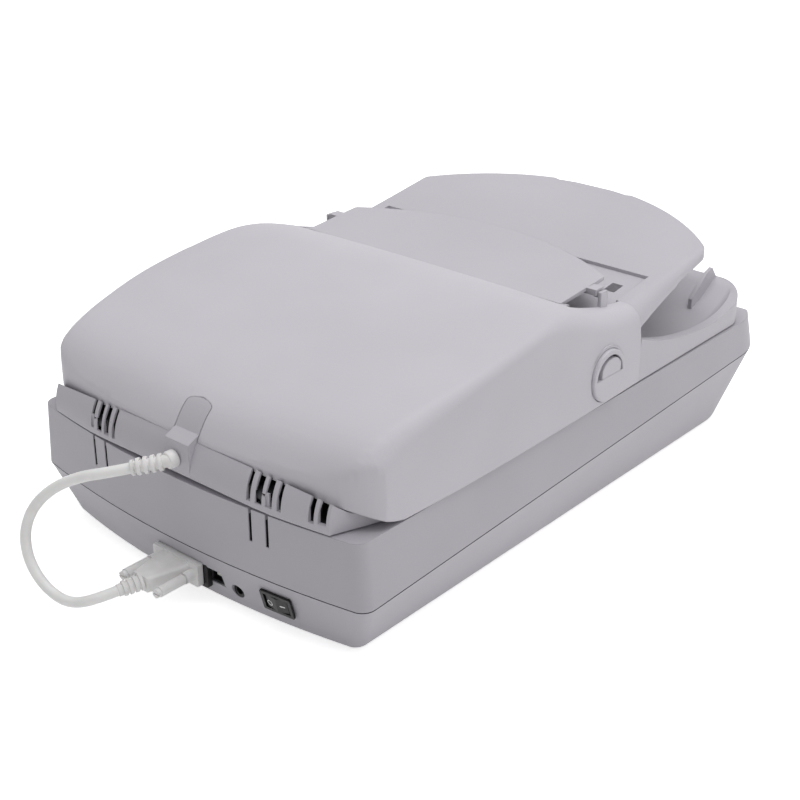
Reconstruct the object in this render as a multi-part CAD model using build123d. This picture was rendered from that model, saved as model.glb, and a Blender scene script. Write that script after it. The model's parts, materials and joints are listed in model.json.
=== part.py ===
from build123d import *
import os
from math import atan2, cos, degrees, hypot, pi, radians, sin, tan

# Document scanner with a hinged feeder lid. Millimetres, +Z up.
# The operator stands at -Y, the sockets and hinges are at +Y, the knob is at -X.

# Base housing: half widths and the ends of its plan, at three heights
widest_half = 155.0
bottom_half = 137.0
top_half = 151.0
rear_middle = 258.5
rear_corner = 244.0
front_middle = -258.5
front_corner = -251.5
bottom_rear_inset = 12.0
bottom_front_inset = 20.0
top_front_inset = 2.5
rear_corner_radius = 10.0
front_corner_radius = 48.0
bottom_edge_radius = 7.0
front_round_radius = 30.0
foot_height = 2.5
parting_height = 54.2
parting_slope = 0.0454
base_top = 90.0
base_wall = 2.6
top_plate = 3.0

# Feet
foot_radius = 9.0
foot_half_x = 112.0
foot_rear_y = 195.0
foot_front_y = -185.0
foot_recess = 1.0

# Glass in the top of the base
glass_thickness = 3.0
glass_half_x = 112.0
platen_front = -142.0
platen_rear = 160.0
strip_front = 171.0
strip_rear = 191.0
glass_ledge = 4.0

# Hinge arms, which also slide up in the base
hinge_y = 250.0
hinge_z = 100.0
hinge_x = 76.0
hinge_width = 11.0
hinge_eye_radius = 3.4
hinge_pin_radius = 1.9
hinge_leg_depth = 8.0
hinge_leg_offset = 12.0
hinge_leg_bottom = 48.0
hinge_side_gap = 0.4
running_gap = 0.1
slide_gap = 0.3
socket_wall = 2.2
socket_bottom = 45.0
tongue_half = 6.7
tongue_slot = 2.4
tongue_bottom = 67.0

# Feeder lid
lid_bottom = 91.2
lid_floor = 3.0
lid_half = 152.0
lid_wall = 2.6
band_top = 117.2
band_rear_bottom = 258.4
band_rear_middle = 257.2
band_rear_top = 250.9
band_corner_x = 130.0
band_middle_height = 105.0
band_gap = 0.4
lid_swing_gap = 0.35
panel_front = -57.0
front_half = 147.0
front_end = -225.5

# Feeder cover: stations along the length, each with its crease and corner
cover_stations = [
    # y, half width at the seam, crease x, crease z, crown, corner radius
    (-57.0, 150.5, 147.0, 148.3, 0.6, 14.0),
    (-34.0, 151.2, 147.2, 151.4, 0.8, 15.0),
    (-10.0, 152.0, 147.6, 157.2, 1.4, 17.0),
    (14.0, 152.6, 148.8, 165.0, 2.2, 17.0),
    (38.0, 153.0, 151.4, 170.6, 2.8, 13.0),
    (62.0, 153.2, 153.6, 171.0, 2.8, 9.0),
    (90.0, 153.5, 155.4, 168.0, 2.8, 8.0),
    (118.0, 153.6, 156.3, 164.0, 2.8, 8.0),
    (146.0, 153.4, 156.0, 159.2, 2.8, 9.0),
    (174.0, 152.6, 154.0, 152.6, 2.8, 11.0),
    (202.0, 151.4, 151.4, 143.4, 2.6, 14.0),
    (230.0, 149.8, 148.8, 130.8, 2.2, 17.0),
    (262.0, 148.0, 146.0, 112.5, 1.6, 18.0),
]
cover_wall = 2.6
cover_front = 4.5
cover_corner_radius = 40.0
cheek_x = 129.5
cheek_wall = 2.5

# Cable boss in the rear of the lid
boss_x = -8.0
boss_half = 11.0
boss_front = 206.0
boss_gap = 0.5

# Vents in the rear band of the lid
vent_bottom = 96.0
vent_widths = [3.2, 5.2, 5.2, 3.2]
vent_pitch = 8.0
vent_left_x = 70.5
vent_right_x = -81.0
corner_vent_x = -117.0
corner_vent_width = 4.0
corner_window_x = -125.0
corner_window_width = 6.0

# Input tray
tray_pivot_height = 154.4
tray_pivot_y = -100.0
tray_slope = 0.141
tray_stations = [
    # y, depth of the side, half width at its foot, half width at the top, corner radius
    (-57.0, 17.0, 148.0, 146.5, 14.0),
    (-86.0, 13.0, 145.0, 144.2, 11.0),
    (-116.0, 9.5, 142.8, 142.2, 8.0),
    (-150.0, 6.6, 141.0, 140.6, 5.0),
    (-190.0, 5.0, 140.0, 139.6, 3.0),
    (-222.0, 4.6, 139.5, 139.2, 2.6),
]
tray_front_radius = 199.0
tray_front_centre = -16.6
tray_corner_radius = 20.0
tray_plate = 2.6
tray_rear = -27.0
recess_half = 127.0
recess_front = -99.0
recess_depth = 2.4
sensor_slot_x = -112.0
sensor_slot_y = -76.0
notch_half = 48.0
notch_depth = 9.5
extension_half = 44.0
extension_rear = -118.0
extension_thickness = 2.2
extension_gap = 0.3
extension_drop = 0.8

# Output tray
exit_rim_rear = 124.5
exit_rim_low = 103.2
exit_rim_front = 117.5
exit_floor_low = 96.5
exit_side_wall = 5.0
fin_x = 116.0
fin_thickness = 3.0
fin_peak = 126.5

# Access hatch over the feeder
hatch_half = 120.0
hatch_pivot_y = 2.0
hatch_pivot_z = 160.3
hatch_top_rear = 162.2
hatch_slope = 0.0795
hatch_thickness = 2.5
hatch_front = -82.5
hatch_corner = -51.0
hatch_pin_radius = 1.5
hatch_ear = 3.5
hatch_snap = 0.9
hatch_rear_gap = 1.2
peg_y = -33.0
peg_radius = 2.5

# Feeder rollers, frames and belts
knob_y = -11.0
knob_z = 113.0
knob_radius = 19.2
knob_gap = 0.4
knob_ring = 1.9
knob_depth = 10.0
knob_face = 152.4
knob_hub = 3.0
grip_radius = 15.6
grip_pocket = 7.0
shaft_radius = 3.0
exit_roller_radius = 9.0
feed_y = 12.0
feed_z = 136.0
feed_roller_radius = 10.0
turn_y = 165.0
turn_z = 112.0
turn_roller_radius = 12.0
frame_x = 125.0
frame_thickness = 2.4
pulley_radius = 6.5
pulley_width = 4.0
belt_thickness = 1.2
belt_gap = 0.25
feed_belt_x = 116.0
turn_belt_x = 109.0

# Scan carriage and its drive in the base
carriage_y = 181.0
carriage_depth = 42.0
carriage_left = -125.0
carriage_right = 112.0
carriage_bottom = 50.0
carriage_top = 83.0
rod_x = 95.0
rod_z = 38.0
rod_radius = 4.0
rod_front = -205.0
rod_rear = 224.0
drive_x = -112.0
drive_rear_y = 216.0
drive_front_y = -196.0
drive_pulley_radius = 8.0
drive_belt_z = 43.0
drive_belt_width = 5.0
floor_thickness = 3.0

# Sockets and switch on the rear of the base
switch_x = -84.5
switch_z = 24.5
switch_width = 24.6
switch_height = 17.0
switch_bezel = 2.4
usb_x = -30.0
usb_z = 23.0
usb_width = 12.0
usb_height = 10.9
jack_x = -48.5
jack_z = 18.6
jack_radius = 5.2
jack_bore = 3.1
plug_x = 1.0
plug_z = 22.5
plug_face = 254.6
plug_flange_width = 44.0
plug_flange_height = 17.0
plug_recess_gap = 0.6
shell_width = 25.0
shell_height = 8.4
screw_half = 16.6
screw_radius = 2.6

# Buttons on the rounded front edge
button_radius = 5.5
button_gap = 0.3
button_pitch = 24.0
button_count = 4
button_travel = 1.2
button_rise = 1.0

# Cable from the lid to the socket, its route chosen by hand
cord_radius = 3.65
sleeve_root = (-5.7, 258.4, 105.0)
sleeve_length = 23.6
boot_length = 17.0
cord_route = [
    (12.0, 280.0, 100.0),
    (23.4, 290.7, 96.9),
    (39.0, 299.0, 92.2),
    (56.0, 308.5, 82.5),
    (68.5, 317.5, 67.5),
    (73.0, 323.5, 49.5),
    (68.0, 326.5, 32.0),
    (55.5, 326.5, 18.5),
    (39.5, 325.0, 12.2),
    (25.0, 322.5, 13.8),
    (14.0, 313.5, 18.0),
    (9.0, 301.5, 20.0),
]


def plan(half, rear_mid, rear_end, front_mid, front_end_y, rear_radius, front_radius):
    rear = ThreePointArc((half, rear_end), (0, rear_mid), (-half, rear_end))
    left = Line((-half, rear_end), (-half, front_end_y))
    front = ThreePointArc((-half, front_end_y), (0, front_mid), (half, front_end_y))
    right = Line((half, front_end_y), (half, rear_end))
    face = make_face(rear + left + front + right)
    rear_vertices = [v for v in face.vertices() if v.Y > 0]
    face = fillet(rear_vertices, rear_radius)
    front_vertices = [v for v in face.vertices() if v.Y < 0]
    return fillet(front_vertices, front_radius)


def base_plan(level, inset):
    if level == "bottom":
        half = bottom_half
        rear = bottom_rear_inset
        front = bottom_front_inset
    elif level == "parting":
        half = widest_half
        rear = 0.0
        front = 0.0
    else:
        half = top_half
        rear = 0.0
        front = top_front_inset
    return plan(half - inset, rear_middle - rear - inset, rear_corner - rear - inset,
                front_middle + front + inset, front_corner + front + inset,
                rear_corner_radius - inset, front_corner_radius - inset)


def parting_plane(lift):
    origin = (0, 0, parting_height + lift)
    return Plane(origin=origin, x_dir=(1, 0, 0), z_dir=(0, parting_slope, 1))


def block(x0, x1, y0, y1, z0, z1):
    box = Box(x1 - x0, y1 - y0, z1 - z0)
    return Pos((x0 + x1) / 2, (y0 + y1) / 2, (z0 + z1) / 2) * box


def rod_along_x(radius, x0, x1, y, z):
    rod = Cylinder(radius, x1 - x0, rotation=(0, 90, 0))
    return Pos((x0 + x1) / 2, y, z) * rod


def rod_along_y(radius, y0, y1, x, z):
    rod = Cylinder(radius, y1 - y0, rotation=(90, 0, 0))
    return Pos(x, (y0 + y1) / 2, z) * rod


def rod_along_z(radius, z0, z1, x, y):
    return Pos(x, y, (z0 + z1) / 2) * Cylinder(radius, z1 - z0)


def side_prism(points, x0, x1):
    # a closed outline in Y and Z, drawn out along X
    outline = Plane.YZ.offset(x0) * make_face(Polyline(*points, close=True))
    return extrude(outline, x1 - x0)


def rear_wall_y(x, z):
    radius = (widest_half ** 2 + (rear_middle - rear_corner) ** 2) / (2 * (rear_middle - rear_corner))
    bulge = rear_middle - x * x / (2 * radius)
    parting = parting_height - parting_slope * bulge
    share = min(1.0, (z - foot_height) / (parting - foot_height))
    return bulge - bottom_rear_inset * (1 - share)


def rear_wall_plane(x, z):
    # a plane on the sloping rear wall, its own Z pointing out of the wall
    radius = (widest_half ** 2 + (rear_middle - rear_corner) ** 2) / (2 * (rear_middle - rear_corner))
    lean = bottom_rear_inset / (parting_height - parting_slope * rear_middle - foot_height)
    normal = Vector(x / radius, 1, -lean).normalized()
    across = Vector(0, 0, 1).cross(normal)
    return Plane(origin=(x, rear_wall_y(x, z), z), x_dir=across, z_dir=normal)


# Base

def front_rounding(radius):
    centre_y = front_middle + front_round_radius
    centre_z = base_top - front_round_radius
    corner = block(-200, 200, front_middle - 30, centre_y, centre_z, base_top + 30)
    return corner - rod_along_x(radius, -200, 200, centre_y, centre_z)


def base_lower_housing():
    bottom = Plane.XY.offset(foot_height) * base_plan("bottom", 0)
    outer = loft([bottom, parting_plane(0) * base_plan("parting", 0)])
    bottom_edges = outer.edges().group_by(Axis.Z)[0]
    outer = fillet(bottom_edges, bottom_edge_radius)
    floor_z = foot_height + floor_thickness
    inner_bottom = Plane.XY.offset(floor_z) * base_plan("bottom", base_wall)
    inner = loft([inner_bottom, parting_plane(0) * base_plan("parting", base_wall)])
    body = outer - inner
    for y0, y1 in ((rod_front, rod_front + 8), (rod_rear - 8, rod_rear)):
        body += block(rod_x - 8, rod_x + 8, y0, y1, floor_z, rod_z + 7)
    body -= rod_along_y(rod_radius, rod_front, rod_rear, rod_x, rod_z)
    axle = rod_along_z(7, floor_z, drive_belt_z - drive_belt_width / 2 - 0.6, drive_x, drive_front_y)
    body += axle
    for x, y in board_posts():
        body += rod_along_z(3.5, floor_z, board_z, x, y)
    for x, y in foot_places():
        body -= rod_along_z(foot_radius, foot_height - 1, foot_height + foot_recess, x, y)
    body -= switch_plane() * Box(switch_width - 2.4, switch_height - 2.4, 20)
    body -= port_window()
    body -= jack_window()
    body -= plug_window()
    return body


def board_posts():
    return [(x, y) for x in (-66, 40) for y in (172, 222)]


board_z = 12.0


def foot_places():
    return [(x, y) for x in (-foot_half_x, foot_half_x) for y in (foot_front_y, foot_rear_y)]


def base_feet():
    feet = []
    for x, y in foot_places():
        feet.append(rod_along_z(foot_radius, 0, foot_height + foot_recess, x, y))
    return Compound(children=feet)


def base_upper_housing():
    top = Plane.XY.offset(base_top) * base_plan("top", 0)
    outer = loft([parting_plane(0) * base_plan("parting", 0), top])
    outer -= front_rounding(front_round_radius)
    inner_top = Plane.XY.offset(base_top - top_plate) * base_plan("top", base_wall)
    inner = loft([parting_plane(0) * base_plan("parting", base_wall), inner_top])
    inner -= front_rounding(front_round_radius - base_wall)
    body = outer - inner
    ledge_z = base_top - glass_thickness
    for y0, y1 in ((platen_front, platen_rear), (strip_front, strip_rear)):
        body += block(-glass_half_x - 6, glass_half_x + 6, y0 - 5, y1 + 5, ledge_z - 2, base_top - 1)
        body -= block(-glass_half_x, glass_half_x, y0, y1, ledge_z, base_top + 1)
        body -= block(-glass_half_x + glass_ledge, glass_half_x - glass_ledge,
                      y0 + glass_ledge, y1 - glass_ledge, ledge_z - 5, base_top + 1)
    leg_y = hinge_y - hinge_leg_offset
    for side in (-1, 1):
        x = side * hinge_x
        half = hinge_width / 2 + slide_gap
        depth = hinge_leg_depth / 2 + slide_gap
        body += block(x - half - socket_wall, x + half + socket_wall,
                      leg_y - depth - socket_wall, leg_y + depth + socket_wall,
                      socket_bottom, base_top - top_plate)
        body -= block(x - half, x + half, leg_y - depth, leg_y + depth, socket_bottom + 2, base_top + 1)
        for slot_side in (-1, 1):
            slot_x = x + slot_side * tongue_half
            body -= block(slot_x - tongue_slot / 2, slot_x + tongue_slot / 2,
                          hinge_y - 0.5, rear_middle + 5, tongue_bottom, base_top + 1)
    for x in button_places():
        hole = Cylinder(button_radius + button_gap, 16)
        body -= button_plane(x) * hole
    return body


def button_places():
    first = -button_pitch * (button_count - 1) / 2
    return [first + button_pitch * number for number in range(button_count)]


def button_plane(x):
    # on the rounded front edge, 45 degrees up, its own Z pointing out
    reach = front_round_radius * cos(radians(45))
    origin = (x, front_middle + front_round_radius - reach, base_top - front_round_radius + reach)
    return Plane(origin=origin, x_dir=(1, 0, 0), z_dir=(0, -1, 1))


def front_button(x):
    flange_top = -base_wall - button_travel - 0.6
    cap_height = button_rise - flange_top
    cap = Pos(0, 0, flange_top + cap_height / 2) * Cylinder(button_radius, cap_height)
    cap = fillet(cap.edges().group_by(Axis.Z)[-1], 0.8)
    flange = Pos(0, 0, flange_top - 0.6) * Cylinder(button_radius + 1.6, 1.2)
    stem = Pos(0, 0, flange_top - 3.0) * Cylinder(2.4, 6.0)
    return button_plane(x) * (cap + flange + stem)


def glass_plate(y0, y1):
    return block(-glass_half_x + slide_gap, glass_half_x - slide_gap,
                 y0 + slide_gap, y1 - slide_gap, base_top - glass_thickness, base_top)


def hinge_arm(side):
    x0 = side * hinge_x - hinge_width / 2
    x1 = x0 + hinge_width
    leg_y = hinge_y - hinge_leg_offset
    half = hinge_leg_depth / 2
    eye = rod_along_x(hinge_eye_radius, x0, x1, hinge_y, hinge_z)
    arm = block(x0, x1, leg_y, hinge_y, hinge_z - hinge_eye_radius, hinge_z + hinge_eye_radius)
    leg = block(x0, x1, leg_y - half, leg_y + half, hinge_leg_bottom, hinge_z + hinge_eye_radius)
    leg = fillet(leg.edges().filter_by(Axis.X).group_by(Axis.Z)[-1], 3.0)
    bore = rod_along_x(hinge_pin_radius + running_gap, x0, x1, hinge_y, hinge_z)
    return eye + arm + leg - bore


# Scan carriage and drive

def scan_carriage():
    y0 = carriage_y - carriage_depth / 2
    y1 = carriage_y + carriage_depth / 2
    body = block(carriage_left, carriage_right, y0, y1, carriage_bottom, carriage_top)
    body -= block(carriage_left + 3, carriage_right - 3, y0 + 3, y1 - 3, carriage_bottom + 3, carriage_top + 1)
    body += block(carriage_left + 3, carriage_right - 3, carriage_y - 1, carriage_y + 1,
                  carriage_bottom + 3, carriage_top - 8)
    bearing = block(rod_x - 8, rod_x + 8, y0 + 3, y1 - 3, rod_z - 7, carriage_bottom)
    bearing -= rod_along_y(rod_radius + running_gap, y0, y1, rod_x, rod_z)
    clamp = block(drive_x + drive_pulley_radius - 3, drive_x + drive_pulley_radius + 5, carriage_y - 8, carriage_y + 8,
                  drive_belt_z + drive_belt_width / 2 + 0.3, carriage_bottom)
    return body + bearing + clamp


def carriage_lamp():
    lamp_y = carriage_y - carriage_depth / 4
    tube = rod_along_x(2.6, carriage_left + 3, carriage_right - 3, lamp_y, carriage_top - 6)
    return tube


def guide_rod():
    return rod_along_y(rod_radius, rod_front, rod_rear, rod_x, rod_z)


def belt_loop(first, second, radius, width):
    # a toothless belt round two equal wheels, in the plane of its own X and Y
    angle = degrees(atan2(second[1] - first[1], second[0] - first[0]))
    length = hypot(second[0] - first[0], second[1] - first[1])
    outer = SlotCenterToCenter(length, 2 * (radius + belt_thickness))
    inner = SlotCenterToCenter(length, 2 * radius)
    middle = Pos((first[0] + second[0]) / 2, (first[1] + second[1]) / 2)
    ring = middle * Rot(0, 0, angle) * (outer - inner)
    return extrude(ring, width)


def drive_belt():
    loop = belt_loop((drive_x, drive_front_y), (drive_x, drive_rear_y),
                     drive_pulley_radius + belt_gap, drive_belt_width)
    return Pos(0, 0, drive_belt_z - drive_belt_width / 2) * loop


def drive_pulley(y):
    low = drive_belt_z - drive_belt_width / 2 - 0.2
    wheel = rod_along_z(drive_pulley_radius, low, low + drive_belt_width, drive_x, y)
    return wheel - rod_along_z(2.0 + running_gap, low - 1, low + drive_belt_width + 1, drive_x, y)


def pulley_axle():
    low = drive_belt_z - drive_belt_width / 2 - 0.6
    return rod_along_z(2.0, low, low + drive_belt_width + 2, drive_x, drive_front_y)


def carriage_motor():
    floor_z = foot_height + floor_thickness
    low = drive_belt_z - drive_belt_width / 2 - 0.6
    can = rod_along_z(16, floor_z, low - 2, drive_x, drive_rear_y)
    flange = Pos(drive_x, drive_rear_y, low - 1) * Box(36, 34, 2)
    axle = rod_along_z(2.0, low, low + drive_belt_width + 2, drive_x, drive_rear_y)
    return can + flange + axle


def main_board():
    board = block(-76, 50, 164, 230, board_z, board_z + 1.6)
    for x, y, size in ((-40, 190, 20), (0, 196, 28), (32, 180, 12)):
        board += block(x - size / 2, x + size / 2, y - size / 2, y + size / 2, board_z + 1.6, board_z + 4.0)
    return board


# Switch and sockets

def switch_plane():
    return rear_wall_plane(switch_x, switch_z)


def power_switch():
    bezel = Pos(0, 0, 0.8) * Box(switch_width, switch_height, 1.6)
    bezel = fillet(bezel.edges().filter_by(Axis.Z), 1.0)
    case = Pos(0, 0, -7.5) * Box(switch_width - 2.8, switch_height - 2.8, 15)
    cavity_x = switch_width - 2 * switch_bezel
    cavity_y = switch_height - 2 * switch_bezel
    cavity = Pos(0, 0, -4) * Box(cavity_x, cavity_y, 14)
    pins = Pos(0, 0, -3.5) * Cylinder(1.2, cavity_y + 2, rotation=(90, 0, 0))
    return switch_plane() * ((bezel + case) - cavity + pins)


def power_rocker():
    length = switch_width - 2 * switch_bezel - 2 * slide_gap
    width = switch_height - 2 * switch_bezel - 2 * slide_gap
    swing = length / 2
    drum = Cylinder(swing, width, rotation=(90, 0, 0))
    drum = Pos(0, 0, -3.5) * drum
    left = Pos(0, 0, -3.5) * Rot(0, 8, 0) * Pos(0, 0, 10.2) * Box(40, 40, 9.4)
    right = Pos(0, 0, -3.5) * Rot(0, -8, 0) * Pos(0, 0, 10.2) * Box(40, 40, 9.4)
    below = Pos(0, 0, -3.5 - 14) * Box(40, 40, 22)
    rocker = drum - left - right - below
    rocker -= Pos(0, 0, -3.5) * Cylinder(1.2 + running_gap, width + 2, rotation=(90, 0, 0))
    return switch_plane() * rocker


def port_window():
    return block(usb_x - usb_width / 2 - 1, usb_x + usb_width / 2 + 1, 236, 262,
                 usb_z - usb_height / 2 - 0.6, usb_z + usb_height / 2 + 0.6)


def usb_socket():
    mouth = rear_wall_y(usb_x, usb_z - usb_height / 2) - 0.6
    shell = block(usb_x - usb_width / 2 - 1, usb_x + usb_width / 2 + 1, mouth - 15, mouth,
                  usb_z - usb_height / 2 - 0.6, usb_z + usb_height / 2 + 0.6)
    shell -= block(usb_x - usb_width / 2 + 1, usb_x + usb_width / 2 - 1, mouth - 11, mouth + 1,
                   usb_z - usb_height / 2 + 1, usb_z + usb_height / 2 - 1)
    shell += block(usb_x - 2.8, usb_x + 2.8, mouth - 12, mouth - 1.5, usb_z + 0.4, usb_z + 3.4)
    return shell


def jack_window():
    return rod_along_y(jack_radius, 230, 262, jack_x, jack_z)


def dc_jack():
    mouth = rear_wall_y(jack_x, jack_z - jack_radius) - 0.4
    barrel = rod_along_y(jack_radius, mouth - 13, mouth, jack_x, jack_z)
    barrel -= rod_along_y(jack_bore, mouth - 10, mouth + 1, jack_x, jack_z)
    return barrel + rod_along_y(1.0, mouth - 11, mouth - 2, jack_x, jack_z)


def plug_window():
    recess = block(plug_x - plug_flange_width / 2 - plug_recess_gap, plug_x + plug_flange_width / 2 + plug_recess_gap,
                   plug_face - 0.2, 262, plug_z - plug_flange_height / 2 - plug_recess_gap,
                   plug_z + plug_flange_height / 2 + plug_recess_gap)
    return recess + block(plug_x - plug_flange_width / 2 + 1, plug_x + plug_flange_width / 2 - 1, 236, 262,
                 plug_z - plug_flange_height / 2 + 1.5, plug_z + plug_flange_height / 2 - 1.5)


def shell_outline(width, height):
    lean = height * tan(radians(10))
    half = width / 2
    points = [(-half, height / 2), (half, height / 2), (half - lean, -height / 2), (-half + lean, -height / 2)]
    face = make_face(Polyline(*points, close=True))
    return fillet(face.vertices(), 2.2)


def plug_plane(y):
    return Plane(origin=(plug_x, y, plug_z), x_dir=(-1, 0, 0), z_dir=(0, 1, 0))


def feeder_socket():
    body = block(plug_x - plug_flange_width / 2 + 1, plug_x + plug_flange_width / 2 - 1, plug_face - 14,
                 plug_face - 0.2, plug_z - plug_flange_height / 2 + 1.5, plug_z + plug_flange_height / 2 - 1.5)
    for side in (-1, 1):
        x = plug_x + side * screw_half
        body -= rod_along_y(1.6, plug_face - 9, plug_face + 1, x, plug_z)
    shell = extrude(plug_plane(plug_face - 0.2) * shell_outline(shell_width, shell_height), 3.6)
    return body + shell


def plug_hood():
    flange = block(plug_x - plug_flange_width / 2, plug_x + plug_flange_width / 2, plug_face, plug_face + 4.4,
                   plug_z - plug_flange_height / 2, plug_z + plug_flange_height / 2)
    flange = fillet(flange.edges().filter_by(Axis.Y), 1.6)
    wide = Plane(origin=(plug_x, plug_face + 4.4, plug_z), x_dir=(-1, 0, 0), z_dir=(0, 1, 0))
    narrow = Plane(origin=(plug_x + 1.5, plug_face + 33, plug_z), x_dir=(-1, 0, 0), z_dir=(0, 1, 0))
    wide_face = wide * RectangleRounded(28, 13.6, 2)
    narrow_face = narrow * RectangleRounded(15, 11, 2)
    hood = loft([wide_face, narrow_face])
    rails = []
    for side in (-1, 1):
        x = plug_x + side * screw_half
        rails.append(rod_along_y(4.0, plug_face + 4.4, plug_face + 12, x, plug_z))
    body = flange + hood + rails[0] + rails[1]
    for side in (-1, 1):
        x = plug_x + side * screw_half
        body -= rod_along_y(screw_radius + running_gap, plug_face - 1, plug_face + 14, x, plug_z)
    pocket = extrude(plug_plane(plug_face - 0.1) * shell_outline(shell_width + 0.6, shell_height + 0.6), 4.2)
    body -= pocket
    return body + plug_boot()


def ribbed_sleeve(start, end, radius, tip_radius, ribs, groove):
    # a moulded sleeve with grooves round it, between two points
    axis = Vector(*end) - start
    length = axis.length
    pitch = length / (ribs + 0.5)
    sections = []
    for number in range(ribs):
        share = (number + 0.5) / ribs
        outer = radius + (tip_radius - radius) * share
        sections.append(Pos(0, 0, pitch * number + pitch * 0.3) * Cylinder(outer, pitch * 0.6))
    core_top = tip_radius - groove
    core = Pos(0, 0, length / 2) * Cone(radius - groove, core_top, length)
    body = core
    for ring in sections:
        body += ring
    place = Plane(origin=start, z_dir=axis.normalized())
    return place * body


def behind_end(end, following, length):
    # the point that lies back along the cord's end run, inside its sleeve
    line = (Vector(*end) - Vector(*following)).normalized()
    return Vector(*end) + line * length


def plug_boot():
    start = behind_end(cord_route[-1], cord_route[-2], boot_length)
    return ribbed_sleeve(start, cord_route[-1], 6.0, 5.2, 4, 1.0)


def thumbscrew(side):
    x = plug_x + side * screw_half
    grip = rod_along_y(3.6, plug_face + 13, plug_face + 33, x, plug_z)
    neck = rod_along_y(screw_radius, plug_face + 1, plug_face + 13, x, plug_z)
    thread = rod_along_y(1.45, plug_face - 6, plug_face + 1, x, plug_z)
    tip = rod_along_y(3.0, plug_face + 33, plug_face + 36, x, plug_z)
    tip -= block(x - 4, x + 4, plug_face + 35, plug_face + 37, plug_z - 0.5, plug_z + 0.5)
    return grip + neck + thread + tip


def strain_relief():
    bend = behind_end(cord_route[0], cord_route[1], sleeve_length)
    sleeve = ribbed_sleeve(bend, cord_route[0], 5.9, 5.0, 5, 1.0)
    root = rod_along_y(5.9, sleeve_root[1], bend.Y, sleeve_root[0], sleeve_root[2])
    ball = Pos(bend) * Sphere(bend.Y - sleeve_root[1] - 0.1)
    return root + ball + sleeve


def cord_radii(points):
    radii = []
    for before, corner, after in zip(points, points[1:], points[2:]):
        first = Vector(*corner) - Vector(*before)
        second = Vector(*after) - Vector(*corner)
        turn = first.get_angle(second)
        radii.append(0.45 * min(first.length, second.length) / tan(radians(turn / 2)))
    return radii


def feeder_cord():
    radii = cord_radii(cord_route)
    path = FilletPolyline(*cord_route, radius=radii)
    start = Plane(origin=path @ 0, z_dir=path % 0)
    tube = sweep(start * Circle(cord_radius), path=path)
    print("cord radii", [round(radius, 1) for radius in radii])
    print("cord length", round(path.length, 1), "volume share",
          round(tube.volume / (pi * cord_radius ** 2 * path.length), 4))
    return tube


# Lid

def cover_section(station, inset, foot):
    y, foot_half, crease_x, crease_z, crown, radius = station
    foot_x = foot_half - inset
    top_x = crease_x - inset
    top_z = crease_z - inset
    lean_x = (foot_x + top_x) / 2 + (foot_half - crease_x) * 0.35 + 0.4
    lean_z = (lid_bottom + top_z) / 2
    right = ThreePointArc((foot_x, foot), (lean_x, lean_z), (top_x, top_z))
    top = ThreePointArc((top_x, top_z), (0, top_z + crown), (-top_x, top_z))
    left = ThreePointArc((-top_x, top_z), (-lean_x, lean_z), (-foot_x, foot))
    face = make_face(right + top + left + Line((-foot_x, foot), (foot_x, foot)))
    upper = [v for v in face.vertices() if v.Y > foot + 10]
    face = fillet(upper, max(1.0, radius - inset))
    return Plane.XZ.offset(-y) * face


def cover_form(inset, foot):
    return loft([cover_section(station, inset, foot) for station in cover_stations])


def cover_bounds(inset):
    # the rear of the cover is rounded in plan
    half = 153.0 - inset
    sag = 14.5
    rear = ThreePointArc((half, band_rear_top - sag - inset), (0, band_rear_top - inset),
                         (-half, band_rear_top - sag - inset))
    sides = Polyline((-half, band_rear_top - sag - inset), (-half - 8, 100), (-half - 8, panel_front),
                     (half + 8, panel_front), (half + 8, 100), (half, band_rear_top - sag - inset))
    face = make_face(rear + sides)
    corners = [v for v in face.vertices() if v.Y > 150]
    face = fillet(corners, cover_corner_radius - inset)
    return extrude(Plane.XY.offset(lid_bottom - 30) * face, 140)


def rear_undercut():
    # below this curve the cover leaves room for the vented band
    curve = ThreePointArc((204, lid_bottom), (234, 102.5), (band_rear_top + 0.5, band_top + band_gap))
    rest = Polyline((band_rear_top + 0.5, band_top + band_gap), (290, band_top + band_gap), (290, 60), (204, 60),
                    (204, lid_bottom))
    face = make_face(curve + rest)
    return extrude(Plane.YZ.offset(-200) * face, 400)


def boss_outline(gap):
    half = boss_half + gap
    front = boss_front + half - gap
    arc = ThreePointArc((boss_x - half, front), (boss_x, front - half), (boss_x + half, front))
    rest = Polyline((boss_x + half, front), (boss_x + half, 300), (boss_x - half, 300), (boss_x - half, front))
    return make_face(arc + rest)


def boss_prism(gap, z0, z1):
    return extrude(Plane.XY.offset(z0) * boss_outline(gap), z1 - z0)


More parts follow.
